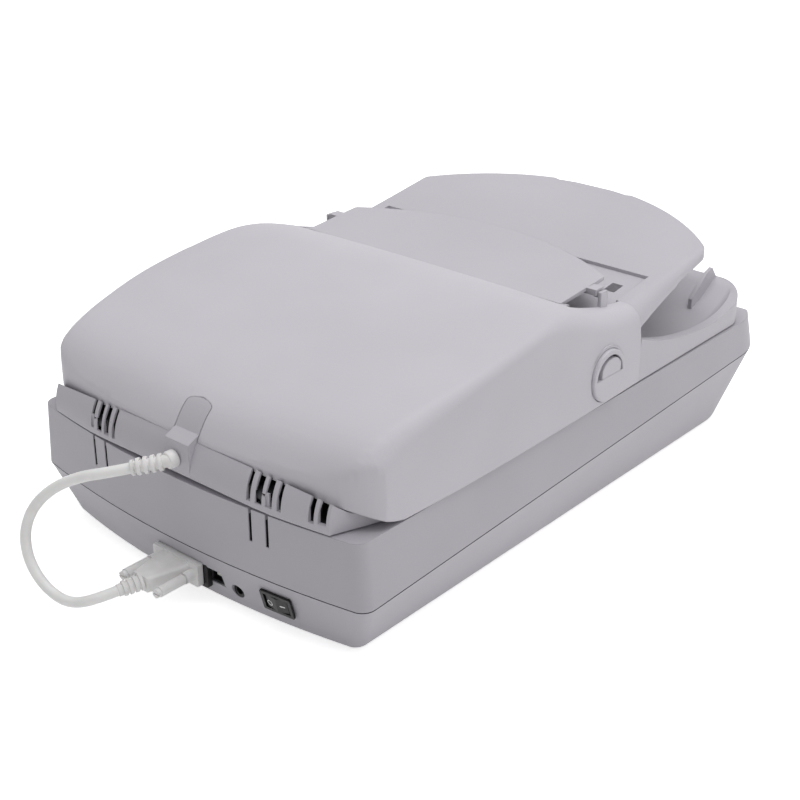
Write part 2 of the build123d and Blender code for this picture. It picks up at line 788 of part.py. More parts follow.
def top_cover():
    outer = cover_form(0, lid_bottom) & cover_bounds(0)
    inner = cover_form(cover_wall, lid_bottom - 8) & cover_bounds(cover_wall)
    body = outer - inner
    body -= rear_undercut()
    body -= boss_prism(boss_gap, lid_bottom - 5, 200)
    body -= block(-cheek_x, cheek_x, panel_front - 5, cover_front, lid_bottom - 5, 200)
    body = body.solids().sort_by(SortBy.VOLUME)[-1]
    for side in (-1, 1):
        x0 = side * (cheek_x + cheek_wall / 2) - cheek_wall / 2
        cheek = block(x0, x0 + cheek_wall, panel_front, cover_front + 6, lid_bottom + lid_floor, 180)
        body += cheek & outer
        peg_ear = block(x0, x0 + cheek_wall, peg_y - 4, peg_y + 4, 140, hatch_pivot_z + 3)
        body += peg_ear
        inner_x = side * cheek_x
        peg = rod_along_x(peg_radius, min(inner_x, inner_x - side * 5), max(inner_x, inner_x - side * 5),
                          peg_y, hatch_pivot_z)
        body += peg
        ear_x = side * (hatch_half + 1.2 + hatch_ear / 2)
        ear = block(ear_x - hatch_ear / 2, ear_x + hatch_ear / 2, hatch_pivot_y - 3, cover_front + 8,
                    hatch_pivot_z - 3, hatch_pivot_z + hatch_snap)
        ear -= rod_along_x(hatch_pin_radius + running_gap, ear_x - 4, ear_x + 4, hatch_pivot_y, hatch_pivot_z)
        body += ear
    ring = rod_along_x(knob_radius + knob_gap + knob_ring, -knob_face, -knob_face + 8, knob_y, knob_z)
    body += ring
    body -= rod_along_x(knob_radius + knob_gap, -knob_face - 5, -knob_face + knob_depth + 1, knob_y, knob_z)
    body -= rod_along_x(shaft_radius + 0.5, -140, -125, knob_y, knob_z)
    return body


def lid_plan(rear_mid, inset):
    sag = rear_middle - rear_corner
    radius = (widest_half ** 2 + sag ** 2) / (2 * sag)
    corner_y = rear_mid - inset - band_corner_x ** 2 / (2 * radius)
    half = lid_half - cover_wall - band_gap - 1.4 - inset
    corner_x = band_corner_x - inset * 0.6
    rear = ThreePointArc((corner_x, corner_y), (0, rear_mid - inset), (-corner_x, corner_y))
    rest = Polyline((-corner_x, corner_y), (-corner_x - 9, corner_y - 24), (-half, 196), (-half, panel_front),
                    (half, panel_front), (half, 196), (corner_x + 9, corner_y - 24), (corner_x, corner_y))
    return make_face(rear + rest)


def swing_clearance():
    # the lower rear edge of the lid is rounded about the hinge, so that it clears the base
    radius = hinge_z - base_top - lid_swing_gap
    corner = block(-200, 200, hinge_y, 300, 60, hinge_z)
    return corner - rod_along_x(radius, -200, 200, hinge_y, hinge_z)


def band_form(inset, z0, z1):
    levels = ((lid_bottom, band_rear_bottom), (band_middle_height, band_rear_middle), (band_top, band_rear_top))
    faces = []
    for height, rear in levels:
        faces.append(Plane.XY.offset(height) * lid_plan(rear, inset))
    form = loft(faces)
    return form & block(-200, 200, 190, 280, z0, z1)


def vent_cutters():
    cutters = []
    for centre in (vent_left_x, vent_right_x):
        for number, width in enumerate(vent_widths):
            x = centre + (number - 1.5) * vent_pitch
            cutters.append(block(x - width / 2, x + width / 2, 236, 270, vent_bottom, band_top + 5))
    cutters.append(block(corner_vent_x - corner_vent_width / 2, corner_vent_x + corner_vent_width / 2,
                         232, 270, vent_bottom, band_top - 4))
    cutters.append(block(corner_window_x - corner_window_width / 2, corner_window_x + corner_window_width / 2,
                         230, 270, vent_bottom + 1, band_top - 4))
    return cutters


def lid_lower_body():
    floor = extrude(Plane.XY.offset(lid_bottom) * lid_plan(band_rear_bottom, 0), lid_floor)
    band = band_form(0, lid_bottom, band_top) - band_form(lid_wall, lid_bottom + lid_floor, band_top + 1)
    band -= block(-200, 200, 180, 196, 60, 200)
    body = floor + band
    under_cover = cover_form(cover_wall + 0.5, lid_bottom - 8) & cover_bounds(cover_wall + 0.5)
    keep = under_cover + (rear_undercut() & block(-200, 200, 190, 290, 60, band_top))
    body = body & keep
    for cutter in vent_cutters():
        body -= cutter
    boss = boss_prism(0, lid_bottom, 160) & cover_form(0, lid_bottom - 8)
    boss = boss & block(-40, 30, 180, band_rear_bottom, lid_bottom, 160)
    boss -= boss_prism(-lid_wall, lid_bottom + lid_floor, 200) & cover_form(lid_wall, lid_bottom - 8) \
        & block(-40, 30, 180, band_rear_bottom - lid_wall, lid_bottom + lid_floor, 160)
    body = body - boss_prism(-lid_wall, lid_bottom + lid_floor, 200) + boss
    body -= rod_along_y(cord_radius + 0.6, band_rear_bottom - 6, band_rear_bottom + 5,
                        sleeve_root[0], sleeve_root[2])
    body -= swing_clearance()
    reach_front = hinge_leg_offset + hinge_leg_depth / 2 + 0.8
    reach_rear = hinge_eye_radius + 0.4
    for side in (-1, 1):
        x = side * hinge_x
        half = hinge_width / 2 + hinge_side_gap
        body -= block(x - half, x + half, hinge_y - reach_front, hinge_y + reach_rear,
                      lid_bottom - 1, hinge_z + hinge_eye_radius + 0.8)
        for ear_side in (-1, 1):
            x0 = x + ear_side * (half + 1.5) - 1.5
            body += block(x0, x0 + 3.0, hinge_y - 9, hinge_y + 3.0, lid_bottom + lid_floor, hinge_z + 5)
        body -= rod_along_x(hinge_pin_radius, x - half - 3.0, x + half + 3.0, hinge_y, hinge_z)
    body -= swing_clearance()
    ring_radius = knob_radius + knob_gap + knob_ring + slide_gap
    body -= rod_along_x(ring_radius, -knob_face, -knob_face + knob_depth + 1, knob_y, knob_z)
    return body


def hinge_pins():
    pins = []
    for side in (-1, 1):
        x = side * hinge_x
        half = hinge_width / 2 + hinge_side_gap + 3.0
        pins.append(rod_along_x(hinge_pin_radius, x - half, x + half, hinge_y, hinge_z))
    return Compound(children=pins)


def tray_top(y):
    return tray_pivot_height - tray_slope * (y - tray_pivot_y)


def tray_section(station, inset, open_below):
    y, depth, foot_half, top_half_x, radius = station
    top = tray_top(y) - inset
    low = tray_top(y) - depth - (6 if open_below else 0)
    foot_x = foot_half - inset
    top_x = top_half_x - inset
    points = [(-foot_x, low), (foot_x, low), (top_x, top), (-top_x, top)]
    face = make_face(Polyline(*points, close=True))
    upper = [v for v in face.vertices() if v.Y > top - 0.5]
    face = fillet(upper, max(0.6, radius - inset))
    return Plane.XZ.offset(-y) * face


def tray_plan(inset):
    reach = tray_front_radius - inset
    half = 141.5 - inset
    corner_y = tray_front_centre - (reach ** 2 - half ** 2) ** 0.5
    front = ThreePointArc((-half, corner_y), (0, tray_front_centre - reach), (half, corner_y))
    rest = Polyline((half, corner_y), (half, -120), (half + 12, panel_front), (-half - 12, panel_front),
                    (-half, -120), (-half, corner_y))
    face = make_face(front + rest)
    corners = [v for v in face.vertices() if v.Y < -130]
    face = fillet(corners, tray_corner_radius)
    return extrude(Plane.XY.offset(100) * face, 100)


def tray_slab(half, y0, y1, drop_top, drop_low):
    # a slab parallel to the slope of the tray, between two depths below its top
    points = [(y0, tray_top(y0) - drop_top), (y1, tray_top(y1) - drop_top),
              (y1, tray_top(y1) - drop_low), (y0, tray_top(y0) - drop_low)]
    return side_prism(points, -half, half)


def notch_cylinder(shrink):
    radius = (notch_half ** 2 + notch_depth ** 2) / (2 * notch_depth)
    inner_y = tray_front_centre - tray_front_radius + notch_depth
    return rod_along_z(radius - shrink, 120, 220, 0, inner_y - radius)


def input_tray():
    outer = loft([tray_section(station, 0, False) for station in tray_stations]) & tray_plan(0)
    inner = loft([tray_section(station, tray_plate, True) for station in tray_stations]) & tray_plan(tray_plate)
    inner &= block(-200, 200, -196, 0, 100, 200)
    inner += tray_slab(extension_half + slide_gap, -232, -190, tray_plate,
                       tray_plate + extension_thickness + 2 * extension_gap)
    body = outer - inner
    body -= tray_slab(recess_half, recess_front, 0, -3, recess_depth)
    chute = tray_slab(cheek_x - 0.2, panel_front - 14, tray_rear, recess_depth, recess_depth + 2.6)
    body += chute
    body -= notch_cylinder(0)
    body -= block(sensor_slot_x - 4.5, sensor_slot_x + 4.5, sensor_slot_y - 6, sensor_slot_y + 6, 130, 170)
    for side in (-1, 1):
        x = side * (extension_half + slide_gap + 1.5)
        rail = tray_slab(1.5, -196, extension_rear, tray_plate, tray_plate + extension_thickness + 2.4)
        body += Pos(x, 0, 0) * rail
        foot_x = side * (extension_half + slide_gap + 1.5 - 1.5)
        foot_slab = tray_slab(2.8, -196, extension_rear,
                              tray_plate + extension_thickness + 2 * extension_gap,
                              tray_plate + extension_thickness + 2.4)
        body += Pos(foot_x, 0, 0) * foot_slab
    return body


def tray_extension():
    front = tray_front_centre - tray_front_radius + 1.5
    drop = tray_plate + extension_gap
    plate = tray_slab(extension_half, front, extension_rear, drop, drop + extension_thickness)
    lip = tray_slab(extension_half, front, front + notch_depth + 2, extension_drop, drop + extension_thickness)
    lip &= notch_cylinder(0.5)
    shape = plate + lip
    return shape & tray_plan(0.8)


def exit_profile(rear, low, front, bottom, y0, y1):
    # a long hollow curve in Y and Z, over a flat bottom
    low_y = -158.0
    first = ThreePointArc((y0, rear), ((y0 + low_y) / 2, low + (rear - low) * 0.27), (low_y, low))
    second = ThreePointArc((low_y, low), ((low_y + y1) / 2, low + (front - low) * 0.22), (y1, front))
    rest = Polyline((y1, front), (y1, bottom), (y0, bottom), (y0, rear))
    return make_face(first + second + rest)


def output_tray():
    half_rear = lid_half - 1.6
    sides = Polyline((half_rear, panel_front), (front_half + 1.5, front_end + 5), (-front_half - 1.5, front_end + 5),
                     (-half_rear, panel_front), close=True)
    face = make_face(sides)
    corners = [v for v in face.vertices() if v.Y < -200]
    face = fillet(corners, 27)
    outline = extrude(Plane.XY.offset(lid_bottom) * face, 60)
    rim = extrude(Plane.YZ.offset(-200) * exit_profile(exit_rim_rear, exit_rim_low, exit_rim_front,
                                                       lid_bottom, panel_front, front_end + 5), 400)
    body = outline & rim
    hollow = exit_profile(99.0, exit_floor_low, exit_rim_front - 1.0, 160, panel_front + 1, front_end + 9)
    half = front_half - exit_side_wall
    cutter = extrude(Plane.YZ.offset(-half) * hollow, 2 * half)
    lower_edges = [e for e in cutter.edges() if e.center().Z < 125 and abs(abs(e.center().X) - half) < 0.01]
    cutter = fillet([e for e in lower_edges if e.length > 40], 9)
    body -= cutter
    for side in (-1, 1):
        x0 = side * fin_x - fin_thickness / 2
        points = [(-184, exit_floor_low + 2), (-184, 108), (-205, fin_peak - 2.5), (-213, fin_peak),
                  (front_end + 5.5, exit_rim_front), (front_end + 5.5, exit_floor_low + 2)]
        body += side_prism(points, x0, x0 + fin_thickness) & outline
    return body


def backing_pad():
    return block(-glass_half_x + 3, glass_half_x - 3, platen_front + 3, platen_rear - 3, base_top + 0.2, lid_bottom)


def access_hatch():
    rear_y = cover_front - hatch_rear_gap
    front = ThreePointArc((hatch_half, hatch_corner), (0, hatch_front), (-hatch_half, hatch_corner))
    rest = Polyline((-hatch_half, hatch_corner), (-hatch_half, rear_y), (hatch_half, rear_y),
                    (hatch_half, hatch_corner))
    face = make_face(front + rest)
    face = fillet([v for v in face.vertices() if v.Y < -40], 3)
    outline = extrude(Plane.XY.offset(120) * face, 80)
    low = hatch_top_rear - hatch_thickness
    points = [(rear_y + 1, hatch_top(rear_y + 1)), (-100, hatch_top(-100)),
              (-100, hatch_top(-100) - hatch_thickness), (rear_y + 1, low - 0.1)]
    plate = outline & side_prism(points, -200, 200)
    for x in (-80, -40, 0, 40, 80):
        rib_points = [(-70, hatch_top(-70) - 1), (-8, hatch_top(-8) - 1), (-8, hatch_top(-8) - 5.5),
                      (-70, hatch_top(-70) - 4.5)]
        plate += side_prism(rib_points, x - 1, x + 1)
    for side in (-1, 1):
        inner = side * (hatch_half - 6)
        outer = side * (hatch_half + 1.2 + hatch_ear)
        plate += rod_along_x(hatch_pin_radius, min(inner, outer), max(inner, outer), hatch_pivot_y, hatch_pivot_z)
        x0 = min(side * (hatch_half - 3), side * (cheek_x - 1.4))
        x1 = max(side * (hatch_half - 3), side * (cheek_x - 1.4))
        tab = block(x0, x1, peg_y - 5, peg_y + 5, hatch_pivot_z + 0.2, hatch_top(peg_y) - 0.3)
        tab -= rod_along_x(peg_radius + 0.3, x0 - 1, x1 + 1, peg_y, hatch_pivot_z)
        plate += tab
    return plate


def hatch_top(y):
    return hatch_top_rear - hatch_slope * (y - cover_front)


# Rollers and knob

def feed_knob():
    inner = -knob_face + knob_depth
    disc = rod_along_x(knob_radius, -knob_face + 0.6, inner, knob_y, knob_z)
    disc = fillet(disc.edges().group_by(Axis.X)[0], 1.2)
    face_x = -knob_face + 0.6
    pocket = rod_along_x(grip_radius, face_x - 1, face_x + grip_pocket, knob_y, knob_z)
    pocket &= block(-200, 0, knob_y - 30, knob_y + 30, knob_z, knob_z + 30)
    disc -= pocket
    grip = rod_along_x(grip_radius - 2.6, face_x + 0.2, face_x + grip_pocket, knob_y - 2.0, knob_z)
    grip &= block(-200, 0, knob_y - 13.5, knob_y + 9.5, knob_z, knob_z + 12.4)
    hub = rod_along_x(5.5, inner, inner + knob_hub, knob_y, knob_z)
    return disc + grip + hub


def roller_shaft(y, z, x0, x1, pulley_places):
    shaft = rod_along_x(shaft_radius, x0, x1, y, z)
    for x in pulley_places:
        shaft += rod_along_x(pulley_radius, x, x + pulley_width, y, z)
    return shaft


def rollers(y, z, radius, places, width):
    rings = []
    for x in places:
        ring = rod_along_x(radius, x - width / 2, x + width / 2, y, z)
        ring -= rod_along_x(shaft_radius, x - width, x + width, y, z)
        rings.append(ring)
    return Compound(children=rings)


def side_frame(side):
    x0 = side * frame_x - frame_thickness / 2
    x1 = x0 + frame_thickness
    floor_z = lid_bottom + lid_floor
    points = [(-22, floor_z), (205, floor_z), (205, 118), (190, 134), (150, 146), (24, 148), (0, 147), (-22, 128)]
    plate = side_prism(points, x0, x1)
    window = side_prism([(45, 108), (130, 108), (120, 134), (50, 134)], x0 - 1, x1 + 1)
    plate -= window
    for y, z in ((knob_y, knob_z), (feed_y, feed_z), (turn_y, turn_z)):
        plate -= rod_along_x(shaft_radius + running_gap, x0 - 1, x1 + 1, y, z)
    return plate


def feeder_belt(y, z, x):
    loop = belt_loop((knob_y, knob_z), (y, z), pulley_radius + belt_gap, pulley_width - 0.6)
    return Plane.YZ.offset(x + 0.3) * loop


def feeder_motor():
    floor_z = lid_bottom + lid_floor
    can = rod_along_x(12, 60, 96, 212, floor_z + 12.0)
    foot = block(58, 98, 202, 222, floor_z, floor_z + 3)
    return can + foot


def paper_guide():
    floor_z = lid_bottom + lid_floor
    slab = block(-118, 105, -40, 150, floor_z + 4, floor_z + 6)
    for x in (-110, -55, 0, 55, 97):
        slab += block(x - 1.5, x + 1.5, -38, 148, floor_z, floor_z + 4)
    return slab


def upper_guide():
    slab = block(-118, 105, 30, 150, 128, 130)
    for x in (-112, 99):
        slab += block(x - 1.2, x + 1.2, 32, 148, 100.2, 128)
    return slab


def build():
    right_end = frame_x + frame_thickness / 2 + 1.5
    knob_end = -knob_face + knob_depth + knob_hub
    nodes = {
        "base_lower_housing": base_lower_housing(),
        "base_feet": base_feet(),
        "base_upper_housing": base_upper_housing(),
        "platen_glass": glass_plate(platen_front, platen_rear),
        "strip_glass": glass_plate(strip_front, strip_rear),
        "guide_rod": guide_rod(),
        "drive_belt": drive_belt(),
        "pulley_axle": pulley_axle(),
        "idler_pulley": drive_pulley(drive_front_y),
        "motor_pulley": drive_pulley(drive_rear_y),
        "carriage_motor": carriage_motor(),
        "main_board": main_board(),
        "scan_carriage": scan_carriage(),
        "carriage_lamp": carriage_lamp(),
        "power_switch": power_switch(),
        "power_rocker": power_rocker(),
        "usb_socket": usb_socket(),
        "dc_jack": dc_jack(),
        "feeder_socket": feeder_socket(),
        "plug_hood": plug_hood(),
        "thumbscrew_left": thumbscrew(1),
        "thumbscrew_right": thumbscrew(-1),
        "feeder_cord": feeder_cord(),
        "strain_relief": strain_relief(),
        "hinge_arm_left": hinge_arm(1),
        "hinge_arm_right": hinge_arm(-1),
        "hinge_pins": hinge_pins(),
        "lid_lower_body": lid_lower_body(),
        "top_cover": top_cover(),
        "input_tray": input_tray(),
        "tray_extension": tray_extension(),
        "output_tray": output_tray(),
        "backing_pad": backing_pad(),
        "access_hatch": access_hatch(),
        "feed_knob": feed_knob(),
        "exit_shaft": roller_shaft(knob_y, knob_z, knob_end, right_end, (feed_belt_x, turn_belt_x)),
        "exit_rollers": rollers(knob_y, knob_z, exit_roller_radius, (-75, -25, 25, 75), 14),
        "feed_shaft": roller_shaft(feed_y, feed_z, -right_end, right_end, (feed_belt_x,)),
        "feed_rollers": rollers(feed_y, feed_z, feed_roller_radius, (-22, 22), 24),
        "turn_shaft": roller_shaft(turn_y, turn_z, -right_end, right_end, (turn_belt_x,)),
        "turn_rollers": rollers(turn_y, turn_z, turn_roller_radius, (-75, -25, 25, 75), 18),
        "side_frame_left": side_frame(1),
        "side_frame_right": side_frame(-1),
        "feed_belt": feeder_belt(feed_y, feed_z, feed_belt_x),
        "turn_belt": feeder_belt(turn_y, turn_z, turn_belt_x),
        "feeder_motor": feeder_motor(),
        "paper_guide": paper_guide(),
        "upper_guide": upper_guide(),
    }
    for number, x in enumerate(button_places()):
        nodes[f"front_button_{number + 1}"] = front_button(x)
    return nodes


os.makedirs("parts", exist_ok=True)
for name, part in build().items():
    export_step(part, f"parts/{name}.step")
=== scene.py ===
import json
from math import cos, pi, radians, sin

import bmesh
import bpy
from bpy.props import FloatProperty, FloatVectorProperty, PointerProperty
from mathutils import Matrix, Vector

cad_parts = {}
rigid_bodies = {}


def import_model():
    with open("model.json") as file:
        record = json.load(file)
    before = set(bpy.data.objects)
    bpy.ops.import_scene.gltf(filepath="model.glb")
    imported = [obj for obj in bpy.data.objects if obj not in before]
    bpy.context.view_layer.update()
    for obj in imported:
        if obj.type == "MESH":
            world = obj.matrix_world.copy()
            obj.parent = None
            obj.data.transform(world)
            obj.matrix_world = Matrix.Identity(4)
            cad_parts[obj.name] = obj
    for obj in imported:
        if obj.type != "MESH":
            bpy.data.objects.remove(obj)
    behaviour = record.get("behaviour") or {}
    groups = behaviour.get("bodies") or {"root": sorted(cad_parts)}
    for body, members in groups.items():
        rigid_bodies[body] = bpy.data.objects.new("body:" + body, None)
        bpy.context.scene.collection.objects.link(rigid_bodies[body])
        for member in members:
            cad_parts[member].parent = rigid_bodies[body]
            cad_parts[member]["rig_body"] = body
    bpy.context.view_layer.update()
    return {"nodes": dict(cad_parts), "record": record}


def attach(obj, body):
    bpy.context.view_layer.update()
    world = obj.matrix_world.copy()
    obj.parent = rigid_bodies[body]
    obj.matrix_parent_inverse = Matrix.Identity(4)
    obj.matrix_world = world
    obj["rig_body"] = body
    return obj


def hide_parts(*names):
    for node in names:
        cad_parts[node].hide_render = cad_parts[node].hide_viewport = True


bl_info = {
    "name": "Document scanner with a feeder lid",
    "version": (1, 0, 0),
    "blender": (4, 5, 0),
    "location": "View3D > Sidebar > Scanner",
    "description": "Dresses a flatbed document scanner with its finishes, cable and small parts",
    "category": "Object",
}

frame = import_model()
nodes = frame["nodes"]

MM = 0.001

# The cable's route from its sleeve on the lid to the plug's boot, in millimetres
cable_route = [
    (12.0, 280.0, 100.0),
    (23.4, 290.7, 96.9),
    (39.0, 299.0, 92.2),
    (56.0, 308.5, 82.5),
    (68.5, 317.5, 67.5),
    (73.0, 323.5, 49.5),
    (68.0, 326.5, 32.0),
    (55.5, 326.5, 18.5),
    (39.5, 325.0, 12.2),
    (25.0, 322.5, 13.8),
    (14.0, 313.5, 18.0),
    (9.0, 301.5, 20.0),
]

# Where the sleeve leaves the lid, and how long it is along the cable
sleeve_root = (-5.7, 258.4, 105.0)
sleeve_length = 23.6

# The sleeve's collar and core as pairs of distance and radius, and how far the collar is sunk into the lid
collar_profile = ((0, 4.4), (0.2, 5.6), (1.0, 6.0), (5.2, 6.0), (6.4, 5.4), (6.8, 4.2))
core_profile = ((-3.6, 3.0), (-3.0, 4.2), (-1.0, 4.6), (1.0, 4.25), (sleeve_length - 2.6, 4.0),
                (sleeve_length - 2.2, 5.3), (sleeve_length - 0.5, 5.2), (sleeve_length, 4.6), (sleeve_length, 3.2))
collar_sink = 0.3

# The seam between the base's two housings: its height in the middle, its fall towards the rear, the gap in it, how
# near to it a corner lies that belongs to it, and how far its dark line, painted shade, runs past the gap
parting_height = 54.2
parting_slope = 0.0454
parting_gap = 0.5
parting_reach = 0.05
parting_shade = 0.12

# Behind the slotted rear walls the plastic is painted near black, as painted shade. Each wall: the depth of its face
# in the middle, the divisor that bows it in plan, where its lean begins and how much it leans, and the zone's
# bottom, top and half width
band_hollow = (256.2, 1620.0, 105.0, 0.516, 92.5, 117.0, 128.6)
base_hollow = (257.6, 1671.0, 105.0, 0.0, 48.0, 86.0, 140.0)

# The slotted walls lie behind this depth
hollow_from = 150.0

# Painted shade: near black behind the slots, and dark grey in the seam
hollow_shade_colour = "#0E0D10"
seam_shade_colour = "#4B494F"

# The cover's height along its middle, and how far its rear is raised into a soft roll
cover_heights = ((90.0, 170.8), (118.0, 166.8), (146.0, 162.0), (174.0, 155.4), (202.0, 146.0), (230.0, 132.9),
                 (262.0, 114.1))
rear_roll = ((100.0, 0.0), (150.0, 1.5), (190.0, 4.0), (210.0, 6.4), (225.0, 8.0), (234.0, 7.8), (240.0, 6.3),
             (245.0, 3.4), (249.0, -0.4), (252.0, -3.4), (262.0, -4.0))

# The divisors that bow the roll and the cover's rear edge in plan, that edge's depth in the middle, the height of
# the cover's foot, and the depth behind which the cover is reshaped
roll_bow = 1900.0
cover_bow = 1620.0
cover_rear = 250.5
cover_foot = 91.2
cover_from = 100.0

# The cable boss in the cover: its middle, half width and foot, the depth of its round front end before and after,
# and how far past its sides and its front a corner may lie that still belongs to it
boss_x = -8.0
boss_half = 11.0
boss_foot = 96.0
boss_front = 206.0
boss_new_front = 234.0
boss_side_slack = 0.1
boss_front_slack = 0.5

# The cover stretches with the boss from this depth on: fully up to the first distance from the boss's middle, and
# less and less up to the second
boss_stretch_front = 150.0
boss_stretch_near = 14.0
boss_stretch_side = 60.0

# The boss's rear end rises: how far, from what depth and height on, and over what height. Only the boss stands above
# the band's top or behind its face
boss_rear_lift = 1.2
boss_rear = 249.0
boss_lift_from = 108.0
boss_lift_over = 8.0
band_top = 117.3
band_rear = 258.2

# Where the cover's rear is cut so that it can bend: in depth, across and in height, and the depth behind which the
# last cuts are made
depth_cuts = (*range(155, 200, 9), *range(200, 254, 3))
across_cuts = (*[boss_x + 11.5 + 6 * i for i in range(9)], *[boss_x - 11.5 - 6 * i for i in range(9)],
               -140, -130, -120, -100, -85, 70, 85, 100, 115, 130, 140)
height_cuts = range(100, 150, 4)
height_cuts_from = 190.0

# The cover's rear corners are softened in small turns, from this depth, distance from the middle and height on, over
# these lengths
corner_turns = 14
corner_from = (196.0, 108.0, 112.0)
corner_over = (14.0, 14.0, 8.0)

# Where the knob's rim begins, how far its grip is drawn out, and over what length
knob_rim = 147.0
knob_draw = 3.2
knob_over = 4.0

# The square data socket: its middle, the depth of its mouth, and the plug's flange beside it
usb_x = -30.0
usb_z = 23.0
usb_mouth = 249.8
plug_x = 1.0
plug_z = 22.5
plug_face = 254.6

# Pieces of the socket and the frame: how far behind the mouth or the plug's face each outline lies, and the outline's
# half width, half height, corner radius and, for the contacts, steps round a corner
usb_outer, usb_inner = (6.5, 5.65, 0.5), (6.1, 5.25, 0.3)
usb_liner, usb_hollow = (6.0, 5.15, 0.3), (4.7, 4.1, 0.5)
frame_outer, frame_inner = (24.2, 9.9, 1.2), (20.5, 6.9, 1.0)
usb_shell_rows = ((14.6, usb_inner), (15, usb_outer), (0.2, usb_outer), (0.1, usb_inner), (13.9, usb_inner))
usb_lining_rows = ((13.5, usb_liner), (0.8, usb_liner), (0.5, usb_hollow), (11.0, usb_hollow))
usb_tongue_rows = ((11.2, (2.9, 1.9, 0.3)), (2.2, (2.9, 1.9, 0.3)), (2.0, (2.7, 1.7, 0.3)))
usb_contact_rows = ((10.8, (0.5, 0.12, 0.05, 1)), (3.0, (0.5, 0.12, 0.05, 1)))
plug_frame_rows = ((4.6, frame_inner), (4.6, frame_outer), (0.7, frame_outer), (0.3, (23.8, 9.5, 1.0)),
                   (0.3, frame_inner), (4.5, frame_inner))

# Where the tongue and the contacts lie from the socket's middle, and the frame from the plug's
usb_tongue_up = 0.6
usb_contact_places = ((-1.3, 2.6), (1.3, 2.6), (-1.3, -1.4), (1.3, -1.4))
plug_frame_aside = -1.4

# The ribs round the sleeve on the lid, the rounding of their edges, and where the first one lies on the core
rib_count = 4
rib_spacing = 4.7
rib_radius = 4.9
rib_width = 2.6
rib_depth = 1.7
rib_rounding = 0.4
rib_start = 4.2

# The power rocker's pin, its three directions, the height of its faces over the pin and their tilt in degrees
rocker_pin = (-84.1626, 245.465, 25.5019)
rocker_across = (-0.9949, -0.1006, 0.0)
rocker_up = (-0.0288, 0.2848, 0.9582)
rocker_out = (-0.0964, 0.9533, -0.2862)
rocker_face = 5.5
rocker_tilt = 8.0

# The marks on the rocker: the ring's middle and radii, the dash's corners, and how far the ink stands out and in
ring_middle = (-6.0, -1.2)
ring_radii = (2.3, 1.6)
dash_outline = ((2.6, -0.7), (6.4, -0.7), (6.4, 0.3), (2.6, 0.3))
ink_depth = 0.05

# Corners of a round outline
round_steps = 40

# In metres: doubled points of the CAD meshes lie nearer than the first, and slivers are shorter than the second
weld_distance = 2e-6
sliver_length = 1e-7


# Colour and material helpers

def linear(hex_colour):
    # an sRGB hex colour as the opaque linear colour that a shader takes
    parts = [int(hex_colour[i:i + 2], 16) / 255 for i in (1, 3, 5)]
    bent = [c / 12.92 if c <= 0.04045 else ((c + 0.055) / 1.055) ** 2.4 for c in parts]
    return (*bent, 1.0)


def add_node(tree, kind, values=None, links=None, **settings):
    # one node with its settings, its socket values and the sockets that feed it
    made = tree.nodes.new(kind)
    for name, value in settings.items():
        setattr(made, name, value)
    for socket, value in (values or {}).items():
        made.inputs[socket].default_value = value
    for socket, source in (links or {}).items():
        tree.links.new(source, made.inputs[socket])
    return made


def new_material(name, **shader_values):
    # a material with one Principled shader, and its tree emptied of anything else
    material = bpy.data.materials.new(name)
    material.use_nodes = True
    tree = material.node_tree
    tree.nodes.clear()
    shader = add_node(tree, "ShaderNodeBsdfPrincipled")
    for socket, value in shader_values.items():
        shader.inputs[socket.replace("_", " ")].default_value = value
    add_node(tree, "ShaderNodeOutputMaterial", links={"Surface": shader.outputs["BSDF"]})
    return material, tree, shader


def grains_per_metre(size_mm):
    return 1.0 / (size_mm * MM)


def noise(tree, position, size_mm, detail=2.0):
    # soft noise whose grains have a real size
    return add_node(tree, "ShaderNodeTexNoise", {"Scale": grains_per_metre(size_mm), "Detail": detail},
                    {"Vector": position}).outputs["Fac"]


def tinted(tree, position, low, high, size_mm):
    # two close tones of one colour, spread in soft patches of a real size, and even past the ramp's two ends
    ramp = add_node(tree, "ShaderNodeValToRGB", links={"Fac": noise(tree, position, size_mm, 3.0)})
    for element, end, tone in zip(ramp.color_ramp.elements, (0.35, 0.65), (low, high)):
        element.position = end
        element.color = linear(tone)
    return ramp.outputs["Color"]


def rounded(tree, edge_mm):
    # the small radius that every moulded edge has
    return add_node(tree, "ShaderNodeBevel", {"Radius": edge_mm * MM}, samples=4).outputs["Normal"]


def bumped(tree, height, depth_mm, strength, normal=None):
    links = {"Height": height}
    if normal:
        links["Normal"] = normal
    return add_node(tree, "ShaderNodeBump", {"Distance": depth_mm * MM, "Strength": strength},
                    links).outputs["Normal"]


def object_position(tree):
    return add_node(tree, "ShaderNodeTexCoord").outputs["Object"]


def ranged(tree, value, low, high):
    return add_node(tree, "ShaderNodeMapRange", {"To Min": low, "To Max": high}, {"Value": value}).outputs["Result"]


def worked(tree, operation, first, second):
    # one step of arithmetic between two sockets or numbers
    fed = {0: first, 1: second}
    return add_node(tree, "ShaderNodeMath",
                    {key: value for key, value in fed.items() if isinstance(value, (int, float))},
                    {key: value for key, value in fed.items() if not isinstance(value, (int, float))},
                    operation=operation).outputs[0]


def mixed(tree, share, first, second):
    # two colours by a share; either may be a socket or a hex colour
    made = add_node(tree, "ShaderNodeMix", links={0: share}, data_type="RGBA")
    for index, colour in ((6, first), (7, second)):
        if isinstance(colour, str):
            made.inputs[index].default_value = linear(colour)
        else:
            tree.links.new(colour, made.inputs[index])
    return made.outputs[2]


